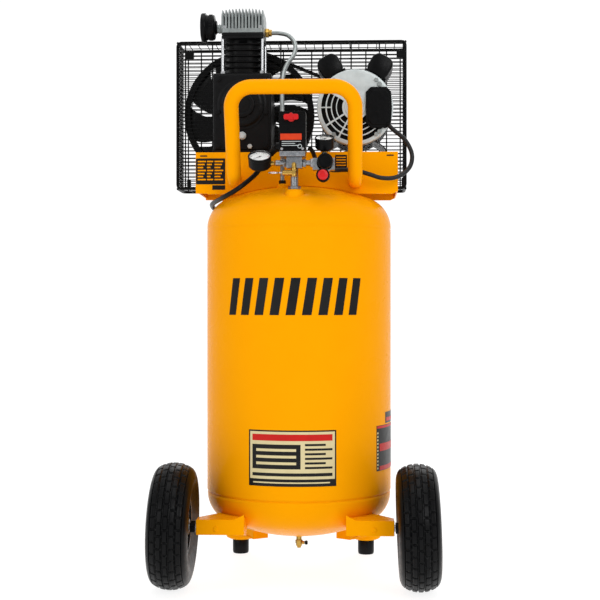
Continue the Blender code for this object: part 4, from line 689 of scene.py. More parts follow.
def make_pump(look):
    """Crankcase, cover, finned barrel, valve plate, finned head, filter and discharge pipe."""
    px, py = PUMP
    y0, y1 = AXIS_Y - 0.008, AXIS_Y + 0.112
    wide, deep, base = 0.0650, (y1 - y0) / 2, DECK_TOP + 0.0003
    middle = (px, (y0 + y1) / 2)

    def course(inset, z, radius=0.0045):
        """One ring of the crankcase's wall, drawn in from its outline."""
        return level(rounded(wide - inset, deep - inset, radius, 14) + middle, z)

    bore = rounded(0.0335, 0.0335, 0.0334, 14) + (px, py)
    shell = loft([course(0, base), course(0, 1.1055), course(0.0006, 1.1080), course(0.0020, 1.1094),
                  course(0.0045, 1.1100), level(bore, 1.1100), level(bore, 1.1020), course(0.0100, 1.0990),
                  course(0.0100, base)], closed=True)
    piece("crankcase_shell", [shell], "black_casting", stands_for=("crankcase",))
    case = [box((px + sx * 0.0655 - 0.003, y, 0.9500), (px + sx * 0.0655 + 0.003, y + 0.008, 1.0900))
             for sx in (-0.92, 0.92) for y in (y0 + 0.02, y0 + 0.052, y0 + 0.084)]
    case += [box((px - 0.0655, y0 - 0.004, base), (px + 0.0655, y1 + 0.004, base + 0.0107))]
    piece("crankcase_ribs", case, "black_casting", bevel=0.0024, segments=4)
    bearing = turned([(0.0130, -0.004), (0.0400, -0.004), (0.0385, 0.010), (0.0330, 0.0240), (0.0315, 0.0250),
                      (0.0130, 0.0250)], (px, y1, CRANK_Z), (0, 1, 0))
    piece("crankcase_bearing", [bearing], "black_casting")
    face = y0 - 0.0003
    cover = [box((px - 0.0600, face - 0.0055, 0.9400), (px + 0.0600, face, 1.1040)),
             turned([(0, 0.002), (0.0560, 0.002), (0.0560, 0.0062), (0.0530, 0.0075), (0.0500, 0.0078),
                     (0.0480, 0.0105), (0.0440, 0.0130), (0.0400, 0.0136), (0.0380, 0.0118), (0.0300, 0.0116),
                     (0.0280, 0.0150), (0.0240, 0.0160), (0.0200, 0.0150), (0.0180, 0.0120), (0, 0.0116)],
                    (px, face, CRANK_Z - 0.004), (0, -1, 0), 96)]
    for n in range(6):
        t = math.tau * n / 6
        rib = [(px + r * math.cos(t) + side, CRANK_Z - 0.004 + r * math.sin(t) + side)
               for r, side in ((0.020, -0.002), (0.046, -0.002), (0.046, 0.002), (0.020, 0.002))]
        cover.append(across_front(rib, face - 0.0138, 0.008))
    piece("crankcase_door", cover, "black_casting", stands_for=("crankcase_cover",), bevel=0.0016, segments=3)
    bolts = []
    for half, z in ((0.0520, 0.9480), (0.0520, 1.0960), (0.0530, 1.0220)):
        for x in (px - half, px + half):
            bolts += [hexagon(0.0058, 0.0045, (x, face - 0.0055, z), (0, -1, 0)),
                      rod(0.0078, 0.0012, (x, face - 0.0052, z), (0, -1, 0))]
    piece("crankcase_bolts", bolts, "black_casting")
    plugs = [hexagon(0.0078, 0.0060, (px + 0.0010, face - 0.0100, 0.9700), (0, -1, 0)),
             rod(0.0088, 0.0050, (px + 0.0010, face - 0.0055, 0.9700), (0, -1, 0)),
             hexagon(0.0056, 0.0060, (px + 0.0180, face - 0.0055, 0.9460), (0, -1, 0))]
    piece("oil_plugs", plugs, "bell_casting")
    bottom, top, fins = 1.1103, 1.1885, look.barrel_fins
    pitch = (top - bottom) / fins
    core = rounded(0.0370, 0.0370, 0.030, 14)
    rings = [level(core, bottom)]
    for n in range(fins):
        z = bottom + n * pitch
        for half, up in ((0.0375, 0.0002), (0.0440, 0.0006), (0.0454, 0.0013), (0.0456, 0.0022),
                         (0.0450, 0.0031), (0.0430, 0.0036), (0.0390, 0.0042), (0.0370, 0.0055)):
            rings.append(level(rounded(half, half, max(0.012, 0.012 + (0.0456 - half) * 2), 14), z + up))
    bore = rounded(0.0320, 0.0320, 0.0319, 14)
    rings += [level(core, top), level(bore, top), level(bore, bottom)]
    barrel = loft([ring + (px, py, 0) for ring in rings], closed=True)
    piece("barrel_fins", [barrel], "black_casting", stands_for=("cylinder_barrel",), angle=60)
    studs = []
    for sx in (-1, 1):
        for sy in (-1, 1):
            x, y = px + sx * 0.0375, py + sy * 0.0375
            studs += [rod(0.0034, top - bottom, (x + sx * 0.0068, y + sy * 0.0068, bottom)),
                      hexagon(0.0062, 0.0062, (x + sx * 0.0050, y + sy * 0.0050, bottom))]
    piece("barrel_studs", studs, "bright_steel")
    plate = [extruded(rounded(0.0470, 0.0520, 0.006, 8) + (px, py), top + 0.0003, top + 0.0062),
             extruded(rounded(0.0462, 0.0510, 0.006, 8) + (px, py), top + 0.0068, 1.2015)]
    piece("valve_plates", plate, "black_casting", stands_for=("valve_plate",), bevel=0.0010)
    base, head_top, tip = 1.2018, 1.2450, 1.2568
    parts = [extruded(rounded(0.0470, 0.0500, 0.006, 8) + (px, py), base, base + 0.0095),
             box((px - 0.0462, py - 0.0380, base + 0.009), (px + 0.0462, py + 0.0380, head_top - 0.004))]
    count = look.head_fins + 1
    pitch = 0.0893 / (count - 1)
    for n in range(count):
        x = px - 0.04465 + n * pitch
        crest = tip - 0.0035 * abs(2 * n / (count - 1) - 1) ** 3
        side = [(py - 0.0495, base + 0.008), (py + 0.0495, base + 0.008), (py + 0.0495, head_top - 0.003),
                (py + 0.0420, crest), (py - 0.0420, crest), (py - 0.0495, head_top - 0.003)]
        side, half = np.array(side), np.array((0.0027, 0.0027, 0.0024, 0.0011, 0.0011, 0.0024))
        wall = np.stack([np.stack([x + d * half, side[:, 0], side[:, 1]], 1) for d in (-1, 1)])
        parts.append(loft(wall))
    piece("head_fins", parts, "head_casting", stands_for=("cylinder_head",), bevel=0.0009, segments=3)
    # Painted shade: a thin black sheet on the front face of the head's core darkens the slots between the fins.
    dark = [box((px - 0.0450, py - 0.0388, base + 0.0100), (px + 0.0450, py - 0.0383, head_top - 0.0060))]
    piece("head_slot_shade", dark, "black_casting")
    caps = [hexagon(0.0066, 0.0060, (px + sx * 0.0400, py + sy * 0.0440, base + 0.0095))
            for sx in (-1, 1) for sy in (-1, 1)]
    piece("head_bolts", caps, "bright_steel")
    z = 1.2195
    neck = [rod(0.0095, 0.0137, (px - 0.0473, py, z), (-1, 0, 0), 48),
            turned([(0, 0), (0.0130, 0), (0.0135, 0.0006), (0.0135, 0.0034), (0.0125, 0.0040), (0, 0.0040)],
                   (px - 0.0473, py, z), (-1, 0, 0), 48),
            turned([(0, 0), (0.0112, 0), (0.0112, 0.0024), (0, 0.0024)], (px - 0.0545, py, z), (-1, 0, 0), 6)]
    piece("intake_neck", neck, "head_casting", stands_for=("filter_elbow",))
    disc = [turned([(0, 0), (0.0140, 0), (0.0152, 0.0012), (0.0160, 0.0030), (0.0255, 0.0044), (0.0278, 0.0060),
                    (0.0285, 0.0085), (0.0285, 0.0180), (0.0276, 0.0190), (0.0276, 0.0204), (0.0285, 0.0214),
                    (0.0285, 0.0240), (0.0318, 0.0246), (0.0325, 0.0258), (0.0325, 0.0330), (0.0312, 0.0350),
                    (0.0260, 0.0362), (0.0120, 0.0365), (0.0105, 0.0352), (0, 0.0350)],
                   (px - 0.0615, py, z + 0.0035), (-1, 0, 0), 96)]
    for n in range(28):
        t = math.tau * n / 28
        spot = np.array((px - 0.0615 - 0.0095, py + 0.0283 * math.cos(t), z + 0.0035 + 0.0283 * math.sin(t)))
        disc.append(rod(0.0010, 0.0080, spot, (-1, 0, 0), 8, 0.0003))
    piece("intake_filter", disc, "moulded_black", stands_for=("air_filter",))
    start = np.array((px + 0.0473, py + 0.010, 1.2115))
    brass = [hexagon(0.0105, 0.0085, start, (1, 0, 0)), rod(0.0078, 0.0040, start + (0.0085, 0, 0), (1, 0, 0)),
             hexagon(0.0082, 0.0030, start + (0.0118, 0, 0), (1, 0, 0))]
    piece("head_union", brass, "turned_brass", stands_for=("discharge_fitting",))
    end = (-0.0325, AXIS_Y - 0.0800)
    foot = float(dome_height(math.hypot(end[0], 0.080)))
    sy = start[1]
    route = [start + (0.0144, 0, 0), (-0.0480, sy, 1.2110), (-0.0260, sy - 0.006, 1.2040),
             (-0.0110, sy - 0.018, 1.1830), (-0.0120, sy - 0.038, 1.1560), (-0.0260, sy - 0.062, 1.1300),
             (-0.0330, sy - 0.090, 1.1040), (-0.0345, sy - 0.112, 1.0700), (-0.0335, end[1] + 0.008, 1.0300),
             (-0.0325, end[1], 0.9900), (-0.0325, end[1], 0.9400), (-0.0325, end[1], foot + 0.004)]
    piece("discharge_pipe", [swept(smooth_path(route, 0.004), 0.0048, 28, up=(1.0, 0.15, 0.1))],
          "drawn_aluminium", stands_for=("discharge_tube",), angle=80)
    boss = turned([(0.0050, -0.006), (0.0110, -0.006), (0.0110, 0.0060), (0.0096, 0.0078), (0.0050, 0.0078)],
                  (*end, foot), steps=40)
    piece("inlet_boss", [boss], "amber_enamel")
    piece("inlet_nut", [hexagon(0.0076, 0.0080, (*end, foot + 0.0078))], "black_casting")


def make_flywheel(look):
    """The grooved fan flywheel: rim, hub and nine blades whose edges turn forward towards the hub."""
    px = PUMP[0]
    at = (px, FLY_Y, CRANK_Z)
    rim = turned([(0.1395, -0.0120), (0.1535, -0.0125), (0.1540, -0.0120), (0.1540, -0.0072), (0.1455, -0.0050),
                  (0.1455, 0.0050), (0.1540, 0.0072), (0.1540, 0.0120), (0.1535, 0.0125), (0.1395, 0.0120)],
                 at, (0, 1, 0), 192)
    hub = turned([(0.0100, -0.0240), (0.0270, -0.0240), (0.0295, -0.0215), (0.0300, -0.0120), (0.0340, -0.0060),
                  (0.0650, -0.0045), (0.0650, 0.0025), (0.0340, 0.0045), (0.0300, 0.0125), (0.0100, 0.0125)],
                 at, (0, 1, 0), 96)
    parts = [rim, hub]
    r = np.linspace(0.0620, 0.1415, 26)[:, None]
    lag = math.radians(20) * ((0.1455 - np.clip(r, 0.064, 0.1455)) / 0.0815) ** 0.6
    share = np.linspace(0, 0.84, 14)[None, :]
    for blade in range(9):
        turn = math.radians(-32.8) + math.tau * (blade + share) / 9 + lag
        twist = 0.0060 * (share / 0.84 - 0.5) * np.clip((r - 0.062) / 0.02, 0, 1)
        twist = twist * np.clip((0.142 - r) / 0.012, 0, 1)
        x, z = px + r * np.cos(turn), CRANK_Z + r * np.sin(turn)
        parts.append(slab(np.stack([x, FLY_Y - 0.0010 + twist - 0.0028, z], -1),
                          np.stack([x, FLY_Y - 0.0010 + twist + 0.0028, z], -1)))
    piece("fan_flywheel", parts, "black_enamel", "crank", ("flywheel",), bevel=0.0006)
    shaft = [rod(0.0124, 0.058, (px, AXIS_Y + 0.112 - 0.032, CRANK_Z), (0, 1, 0)),
             rod(0.0095, 0.062, (px, AXIS_Y + 0.112 + 0.026, CRANK_Z), (0, 1, 0)),
             rod(0.034, 0.010, (px, AXIS_Y + 0.112 - 0.034, CRANK_Z), (0, 1, 0), 64),
             rod(0.0080, 0.028, (px, AXIS_Y + 0.112 - 0.060, CRANK_Z - 0.022), (0, 1, 0)),
             hexagon(0.0165, 0.0090, (px, FLY_Y + 0.0125, CRANK_Z), (0, 1, 0))]
    piece("crank_shaft", shaft, "bright_steel", "crank", ("crankshaft",))


# ---------------------------------------------------------------- motor, pulley and belt

def sector(r0, r1, t0, t1, at, thick, count):
    """A flat ring sector between two radii and two angles, facing the front."""
    t = np.linspace(t0, t1, count)[None, :]
    r = np.array([r0, r1])[:, None]
    x, z = at[0] + r * np.cos(t), at[2] + r * np.sin(t)
    return slab(np.stack([x, np.full_like(x, at[1]), z], -1),
                np.stack([x, np.full_like(x, at[1] + thick), z], -1))


def make_motor(look):
    """The motor: ribbed shell, vented front bell, feet, capacitor covers, terminal cover and pulley."""
    mx, front, mz = MOTOR
    radius = MOTOR_R - 0.004
    long = 0.188
    ribs = []
    for n in range(36):
        h = 0.028 + n * 0.004
        ribs += [(radius - 0.0008, h), (radius, h + 0.0008), (radius, h + 0.0024), (radius - 0.0008, h + 0.0032)]
    shell = turned([(0, 0.018), (radius - 0.002, 0.018), (radius, 0.022)] + ribs
                   + [(radius, long - 0.012), (0.070, long - 0.003), (0.066, long - 0.002), (0.030, long),
                      (0.0120, long), (0, long)],
                   (mx, front, mz), (0, 1, 0), 128)
    piece("motor_barrel", [shell], "black_enamel", stands_for=("motor_shell",), angle=50)
    at = (mx, front, mz)
    thick = 0.0040
    bell = [turned([(0.0745, thick), (0.0745, 0.0), (0.0800, 0.0), (0.0826, 0.0010), (0.0838, 0.0028),
                    (0.0840, 0.0050), (0.0840, 0.0190), (0.0832, 0.0217), (0.0780, 0.0217), (0.0780, thick)],
                   at, (0, 1, 0), 160),
            turned([(0, -0.0040), (0.0110, -0.0040), (0.0135, -0.0034), (0.0150, 0.0), (0.0285, 0.0),
                    (0.0285, thick), (0, thick)],
                   at, (0, 1, 0), 96),
            turned([(0.0195, -0.0018), (0.0225, -0.0018), (0.0230, 0.0), (0.0190, 0.0)], at, (0, 1, 0), 96)]
    for r0, r1 in ((0.0400, 0.0422), (0.0508, 0.0534), (0.0622, 0.0652)):
        bell.append(turned([(r0, thick), (r0, 0.0), (r1, 0.0), (r1, thick)], at, (0, 1, 0), 128))
    start, stop = math.radians(150), math.radians(322)
    bell.append(sector(0.0280, 0.0770, stop - math.tau, start, (mx, front - 0.0003, mz), thick, 60))
    for inner, outer, degrees, half in ((0.0280, 0.0770, 212, 0.0019), (0.0280, 0.0770, 241, 0.0019),
                                        (0.0520, 0.0770, 180, 0.0014), (0.0280, 0.0640, 281, 0.0016)):
        t = math.radians(degrees)
        way, off = np.array((math.cos(t), math.sin(t))), np.array((-math.sin(t), math.cos(t))) * half
        rib = [way * inner - off, way * outer - off, way * outer + off, way * inner + off]
        bell.append(across_front(np.array(rib) + (mx, mz), front + 0.0002, thick))
    piece("motor_bell", bell, "bell_casting", stands_for=("motor_front_bell",), bevel=0.0006)
    # Painted shade: a black disc behind the vented bell darkens what shows through its slots.
    piece("motor_vent_shade", [rod(0.0780, 0.0020, (mx, front + 0.0150, mz), (0, 1, 0), 96)], "moulded_black")
    through = []
    for degrees in (52, 128, 232, 308):
        t = math.radians(degrees)
        spot = (mx + 0.0755 * math.cos(t), front - 0.0002, mz + 0.0755 * math.sin(t))
        through.append(hexagon(0.0050, 0.0042, spot, (0, -1, 0)))
    piece("motor_bolts", through, "drawn_aluminium")
    plain("motor_rotor", "bright_steel")
    base_top = mz - MOTOR_R
    feet = [box((mx - 0.0720, front + 0.026, DECK_TOP + 0.0003),
                (mx + 0.0720, front + 0.150, DECK_TOP + 0.0040))]
    for s in (-1, 1):
        t = np.linspace(0, 1, 12)
        inner = mx + s * (0.0600 - 0.0350 * t ** 2)
        z = DECK_TOP + 0.0035 + (base_top + 0.013 - DECK_TOP) * t
        top = np.stack([np.stack([inner + s * 0.0110, np.full(12, y), z], -1)
                        for y in (front + 0.028, front + 0.148)])
        low = np.stack([np.stack([inner + s * 0.0075, np.full(12, y), z], -1)
                        for y in (front + 0.028, front + 0.148)])
        feet.append(slab(top, low))
    piece("motor_cradle", feet, "black_enamel", stands_for=("motor_base",), bevel=0.0010)
    for side, sign in (("left", -1), ("right", 1)):
        lean = math.radians(30) * sign
        out = np.array((math.sin(lean), 0, math.cos(lean)))
        wide = np.array((math.cos(lean), 0, -math.sin(lean)))
        origin = np.array((mx, front + 0.030, mz)) + out * (MOTOR_R + 0.0035)
        ring, rise = rounded(0.0255, 0.0260, 0.0180, 12), 0.0235
        rings = []
        for along, scale in ((0.0, 0.86), (0.0012, 0.94), (0.0040, 0.99), (0.0080, 1.0), (0.0970, 1.0),
                             (0.1010, 0.99), (0.1038, 0.94), (0.1050, 0.86)):
            spots = ring * scale
            rings.append(origin + spots[:, :1] * wide + (spots[:, 1:] + rise) * out + np.array((0, along, 0)))
        band = [origin + ring[:, :1] * 1.015 * wide + (ring[:, 1:] * 1.015 + rise) * out + np.array((0, d, 0))
                for d in (0.046, 0.056)]
        spots, faces = box((-0.0262, 0.0, 0.0), (0.0262, 0.0960, 0.0040))
        flange = (origin + spots[:, :1] * wide + spots[:, 1:2] * np.array((0, 1, 0)) + spots[:, 2:] * out, faces)
        piece(f"capacitor_can_{side}", [loft(rings), loft(band), flange], "moulded_black",
              stands_for=(f"capacitor_cover_{side}",), bevel=0.0008)
    x0, x1, z0, z1, c = 0.1480, 0.2045, 0.9830, 1.0730, 0.011
    outline = np.array([(x0 + c, z0), (x1 - c, z0), (x1 - 0.001, z0 + c), (x1 + 0.001, (z0 + z1) / 2),
                        (x1 - 0.001, z1 - c), (x1 - c, z1), (x0 + c, z1), (x0, z1 - c), (x0, z0 + c)])
    middle = outline.mean(0)
    lid = [across_front(outline, front - 0.0075, 0.0072),
           across_front((outline - middle) * 0.84 + middle, front - 0.0092, 0.004)]
    piece("terminal_lid", lid, "moulded_black", stands_for=("terminal_cover",), bevel=0.0014, segments=3)
    screws = [hexagon(0.0055, 0.0040, (0.1780, front - 0.0005, z), (0, -1, 0)) for z in (1.0800, 0.9760)]
    piece("terminal_screws", screws, "drawn_aluminium")
    gland = np.array((0.1985, front - 0.0048, 0.9885))
    piece("terminal_gland", [rod(0.0068, 0.0040, gland - 0.0030 * unit((0.7, 0, -0.7)), (0.7, -0.15, -0.7))],
          "moulded_black")
    pulley = turned([(0.0083, -0.0125), (0.0640, -0.0125), (0.0685, -0.0123), (0.0690, -0.0118),
                     (0.0690, -0.0072), (0.0605, -0.0050), (0.0605, 0.0050), (0.0690, 0.0072),
                     (0.0690, 0.0118), (0.0685, 0.0125), (0.0620, 0.0125), (0.0610, 0.0080),
                     (0.0300, 0.0060), (0.0250, 0.0120), (0.0200, 0.0200), (0.0083, 0.0200)],
                    (mx, FLY_Y, mz), (0, 1, 0), 128)
    piece("belt_pulley", [pulley], "black_enamel", "rotor", ("motor_pulley",))
    make_belt()


def belt_line(big, small, steps=60):
    """The belt's line round both wheels: two arcs joined by their outer tangents."""
    px, (mx, _, mz) = PUMP[0], MOTOR
    run = np.array((mx - px, mz - CRANK_Z))
    tilt = math.atan2(run[1], run[0])
    open_angle = math.acos((big - small) / np.hypot(*run))
    a = tilt + np.linspace(open_angle, math.tau - open_angle, 2 * steps)
    b = tilt + np.linspace(-open_angle, open_angle, steps)
    return np.concatenate([np.stack([px + big * np.cos(a), CRANK_Z + big * np.sin(a)], -1),
                           np.stack([mx + small * np.cos(b), mz + small * np.sin(b)], -1)])


def make_belt():
    """The drive belt: a trapezoid section carried round the belt's line."""
    inner, outer = belt_line(0.1463, 0.0613), belt_line(0.1534, 0.0684)

    def row(line, offset):
        return np.stack([line[:, 0], np.full(len(line), FLY_Y + offset), line[:, 1]], -1)

    rings = np.stack([row(inner, -0.0046), row(outer, -0.0063), row(outer, 0.0063), row(inner, 0.0046)], 1)
    piece("belt_loop", [grid(rings, True, True)], "cord_rubber", stands_for=("drive_belt",), bevel=0.0004)


# ---------------------------------------------------------------- guard

def make_guard(look):
    """The wire guard: a basket of bent wires behind the wheels and a flat panel of wires before them."""
    x0, x1 = GUARD_X
    z0, z1 = GUARD_Z
    y0, y1 = GUARD_Y
    wire = 0.0011
    pitch = look.wire_pitch
    heights = np.arange(z0 + 0.007, z1 - 0.004, pitch)
    basket, panel = [], []
    for z in heights:
        run = filleted([(x0 + 0.0100, y0 + 0.0052, z), (x0 + 0.0016, y0 + 0.0052, z),
                        (x0 + 0.0016, y1 - 0.0016, z), (x1 - 0.0016, y1 - 0.0016, z),
                        (x1 - 0.0016, y0 + 0.0052, z), (x1 - 0.0100, y0 + 0.0052, z)],
                       [0.0040, 0.010, 0.010, 0.0040], 5)
        basket.append(swept(run, wire, 6))
        run = filleted([(x0 + 0.0020, y0 + 0.0042, z + pitch / 2), (x0 + 0.0020, y0 + 0.0014, z + pitch / 2),
                        (x1 - 0.0020, y0 + 0.0014, z + pitch / 2), (x1 - 0.0020, y0 + 0.0042, z + pitch / 2)],
                       [0.0013, 0.0013], 3)
        if z + pitch / 2 < z1 - 0.004:
            panel.append(swept(run, wire, 6))
    for x in np.array((-0.2818, -0.2500, -0.1900, -0.1200, -0.0500, 0.0188, 0.0892, 0.1500, 0.2000, 0.2330)):
        basket.append(rod(0.0016, z1 - z0 - 0.002, (x, y1 - 0.0038, z0 + 0.001), steps=10))
    for x in np.array((x0 + 0.0040, -0.2750, -0.2110, -0.1300, -0.0500, 0.0490, 0.1150, 0.1810, 0.2370)):
        panel.append(rod(0.0016, z1 - z0 - 0.002, (x, y0 + 0.0036, z0 + 0.001), steps=10))
    for y in np.linspace(y0 + 0.022, y1 - 0.016, 4):
        for x in (x0 + 0.0036, x1 - 0.0036):
            basket.append(rod(0.0016, z1 - z0 - 0.002, (x, y, z0 + 0.001), steps=10))
    for z in (z0 + 0.0030, z1 - 0.0030):
        basket.append(swept(filleted([(x0 + 0.003, y0 + 0.0082, z), (x0 + 0.003, y1 - 0.003, z),
                                      (x1 - 0.003, y1 - 0.003, z), (x1 - 0.003, y0 + 0.0082, z)],
                                     [0.012, 0.012], 6), 0.0028, 12))
        for y in np.arange(y0 + 0.0140, y0 + 0.0360, look.wire_pitch * 0.6):
            basket.append(swept([(x0 + 0.0040, y, z), (0.0, y, z), (x1 - 0.0040, y, z)], wire, 6))
        for x in np.linspace(x0 + 0.006, x1 - 0.006, 26):
            basket.append(swept([(x, y0 + 0.0060, z), (x, (y0 + y1) / 2, z), (x, y1 - 0.0040, z)], wire, 6,
                                up=(0, 0, 1)))
    a, b, c, d = x0 + 0.003, x1 - 0.003, z0 + 0.003, z1 - 0.003
    round_trip = [(x, y0 + 0.0034, z)
                  for x, z in ((x0 + 0.06, d), (a, d), (a, c), (b, c), (b, d), (x0 + 0.06, d))]
    frame_wire = swept(filleted(round_trip, [0.010] * 4, 6), 0.0028, 12, up=(0, 1, 0))
    panel.append(frame_wire)
    piece("guard_basket", basket, "black_wire", stands_for=("guard_back",), angle=70)
    piece("guard_panel", panel, "black_wire", stands_for=("guard_front",), angle=70)
    clips = [box((x, y0 + 0.0005, z), (x + wide, y0 + 0.0100, z + tall)) for x, z, wide, tall in
             ((-0.2740, 1.1720, 0.0190, 0.0190), (-0.2710, 0.8700, 0.0090, 0.0200),
              (0.2210, 1.1720, 0.0200, 0.0190), (0.2330, 0.8720, 0.0080, 0.0200))]
    piece("guard_clips", clips, "moulded_black", bevel=0.0016, segments=3)
    legs = [box((x - 0.009, DECK_Y[1] - 0.012, DECK_TOP), (x + 0.009, y0 + 0.0060, DECK_TOP + 0.0024))
            for x in (-0.205, 0.0, 0.198)]
    piece("guard_straps", legs, "black_enamel", bevel=0.0006)


# ---------------------------------------------------------------- controls and gauges

def make_controls(look):
    """Manifold, nipples, pressure switch, safety valve, regulator and coupler on the outlet pipe."""
    x, y = PORT
    crown = float(dome_height(abs(y - AXIS_Y)))
    z0, z1 = 0.8835, 0.9062
    middle = (z0 + z1) / 2
    pipe = [rod(0.0081, z0 - crown + 0.002, (x, y, crown), steps=48),
            hexagon(0.0135, 0.0080, (x, y, crown + 0.0066)),
            box((x - 0.0165, y - 0.0108, z0), (x + 0.0165, y + 0.0108, z1)),
            rod(0.0058, 0.0300, (x + 0.0100, y, middle), (1, 0, 0)),
            hexagon(0.0095, 0.0075, (x + 0.0170, y, middle), (1, 0, 0)),
            rod(0.0062, 0.0300, (x - 0.0100, y, middle), (-1, 0, 0)),
            hexagon(0.0098, 0.0070, (x - 0.0170, y, middle), (-1, 0, 0)),
            hexagon(0.0100, 0.0030, (x, y, z1 - 0.0002))]
    for n in range(7):
        pipe.append(turned([(0.0076, 0.0), (0.0084, 0.0006), (0.0076, 0.0012)],
                           (x, y, crown + 0.0160 + n * 0.0014), steps=32))
    piece("outlet_manifold", pipe, "zinc_plate", stands_for=("manifold",), bevel=0.0012, segments=3)
    make_switch()
    make_relief()
    make_regulator()


def make_switch():
    """The pressure switch: a die-cast foot, a moulded hood with raised bands, and the red lever."""
    x0, x1, y0, y1, z0, z1 = -0.0339, 0.0217, PORT[1] - 0.033, PORT[1] + 0.027, 0.9065, 1.0001
    foot = [box((x0 + 0.001, y0 + 0.003, z0), (x1 - 0.001, y1, z0 + 0.0120)),
            box((x0, y0 + 0.0022, z0 + 0.0085), (x1, y1, z0 + 0.0118))]
    piece("switch_foot", foot, "zinc_plate", stands_for=("switch_base",), bevel=0.0022, segments=3)
    hood = [box((x0, y0, z0 + 0.0123), (x1, y1, z1)),
            box((x0 - 0.0003, y0 - 0.0003, z0 + 0.0123), (x1 + 0.0003, y1 + 0.0003, z0 + 0.0175)),
            box((x0 + 0.0060, y0 - 0.0014, z0 + 0.0180), (x1 - 0.0060, y0 + 0.001, z0 + 0.0325)),
            box((x0 + 0.0040, y0 - 0.0014, z1 - 0.0310), (x1 - 0.0040, y0 + 0.001, z1 - 0.0050))]
    piece("switch_hood", hood, "moulded_black", stands_for=("switch_cover",), bevel=0.0032, segments=4)
    face = y0 - 0.0016
    left, right, low, high = x0 + 0.0030, x1 - 0.0080, z1 - 0.0600, z1 - 0.0470
    stripe = across_front([(left, low), (right, low), (right, high), (left, high)], face, 0.0020)
    piece("switch_stripe", [stripe], "stripe_orange", bevel=0.0004)
    marks = []
    for row, (a, b) in enumerate(((0.006, 0.046), (0.006, 0.034), (0.006, 0.042))):
        z = z0 + 0.0295 - row * 0.0042
        marks.append(across_front([(x0 + a, z), (x0 + b, z), (x0 + b, z + 0.0013), (x0 + a, z + 0.0013)],
                                  face, 0.0006))
    marks.append(turned([(0.0034, 0), (0.0046, 0), (0.0046, 0.0006), (0.0034, 0.0006)],
                        (x1 - 0.0120, face, z0 + 0.0200), (0, -1, 0), 32))
    piece("switch_marks", marks, "bell_casting")
    px, pz = (x0 + x1) / 2 - 0.002, 0.9860
    lever = [rod(0.0088, 0.0070, (px, y0 - 0.0016, pz), (0, -1, 0), 48, 0.0012),
             across_front(rounded(0.0155, 0.0058, 0.0040) + (px, pz + 0.001), y0 - 0.0118, 0.0088),
             across_front(rounded(0.0030, 0.0075, 0.0020) + (px, pz + 0.0020), y0 - 0.0120, 0.0100)]
    piece("switch_key_lever", lever, "moulded_red", "switch_key", ("switch_lever",), bevel=0.0012, segments=3)
    screws = [rod(0.0028, 0.0012, (sx, y0 - 0.0002, z0 + 0.0150), (0, -1, 0)) for sx in (x0 + 0.006, x1 - 0.006)]
    piece("switch_screws", screws, "bright_steel")


def make_relief():
    """The brass safety valve with its pull ring, and the small steel unloader line beside it."""
    x, y, z = PORT[0], PORT[1] - 0.0215, 0.8725
    valve = [hexagon(0.0075, 0.0090, (x, y, z - 0.0035)), rod(0.0062, 0.0200, (x, y, z - 0.0085)),
             hexagon(0.0068, 0.0035, (x, y, z + 0.0075)),
             rod(0.0050, 0.0130, (x, PORT[1] - 0.0113, 0.8895), (0, -1, 0)),
             rod(0.0050, 0.0100, (x, y, 0.8820)),
             rod(0.0058, 0.0240, (x, y, z), (-1, 0, 0)),
             turned([(0.0056, 0), (0.0066, 0.0008), (0.0066, 0.0030), (0.0056, 0.0038)],
                    (x - 0.0120, y, z), (-1, 0, 0), 32)]
    piece("relief_body", valve, "turned_brass", stands_for=("safety_valve",), bevel=0.0003)
    t = np.linspace(0, math.tau, 48, endpoint=False)
    ring = np.stack([x - 0.0425 + 0.0110 * np.cos(t), y + 0.0110 * np.sin(t), z + 0 * t], -1)
    stem = rod(0.0016, 0.0085, (x - 0.0243, y, z), (-1, 0, 0))
    piece("relief_pull_ring", [swept(ring, 0.0011, 12, True), stem], "bright_steel", "relief_ring",
          ("safety_ring",))


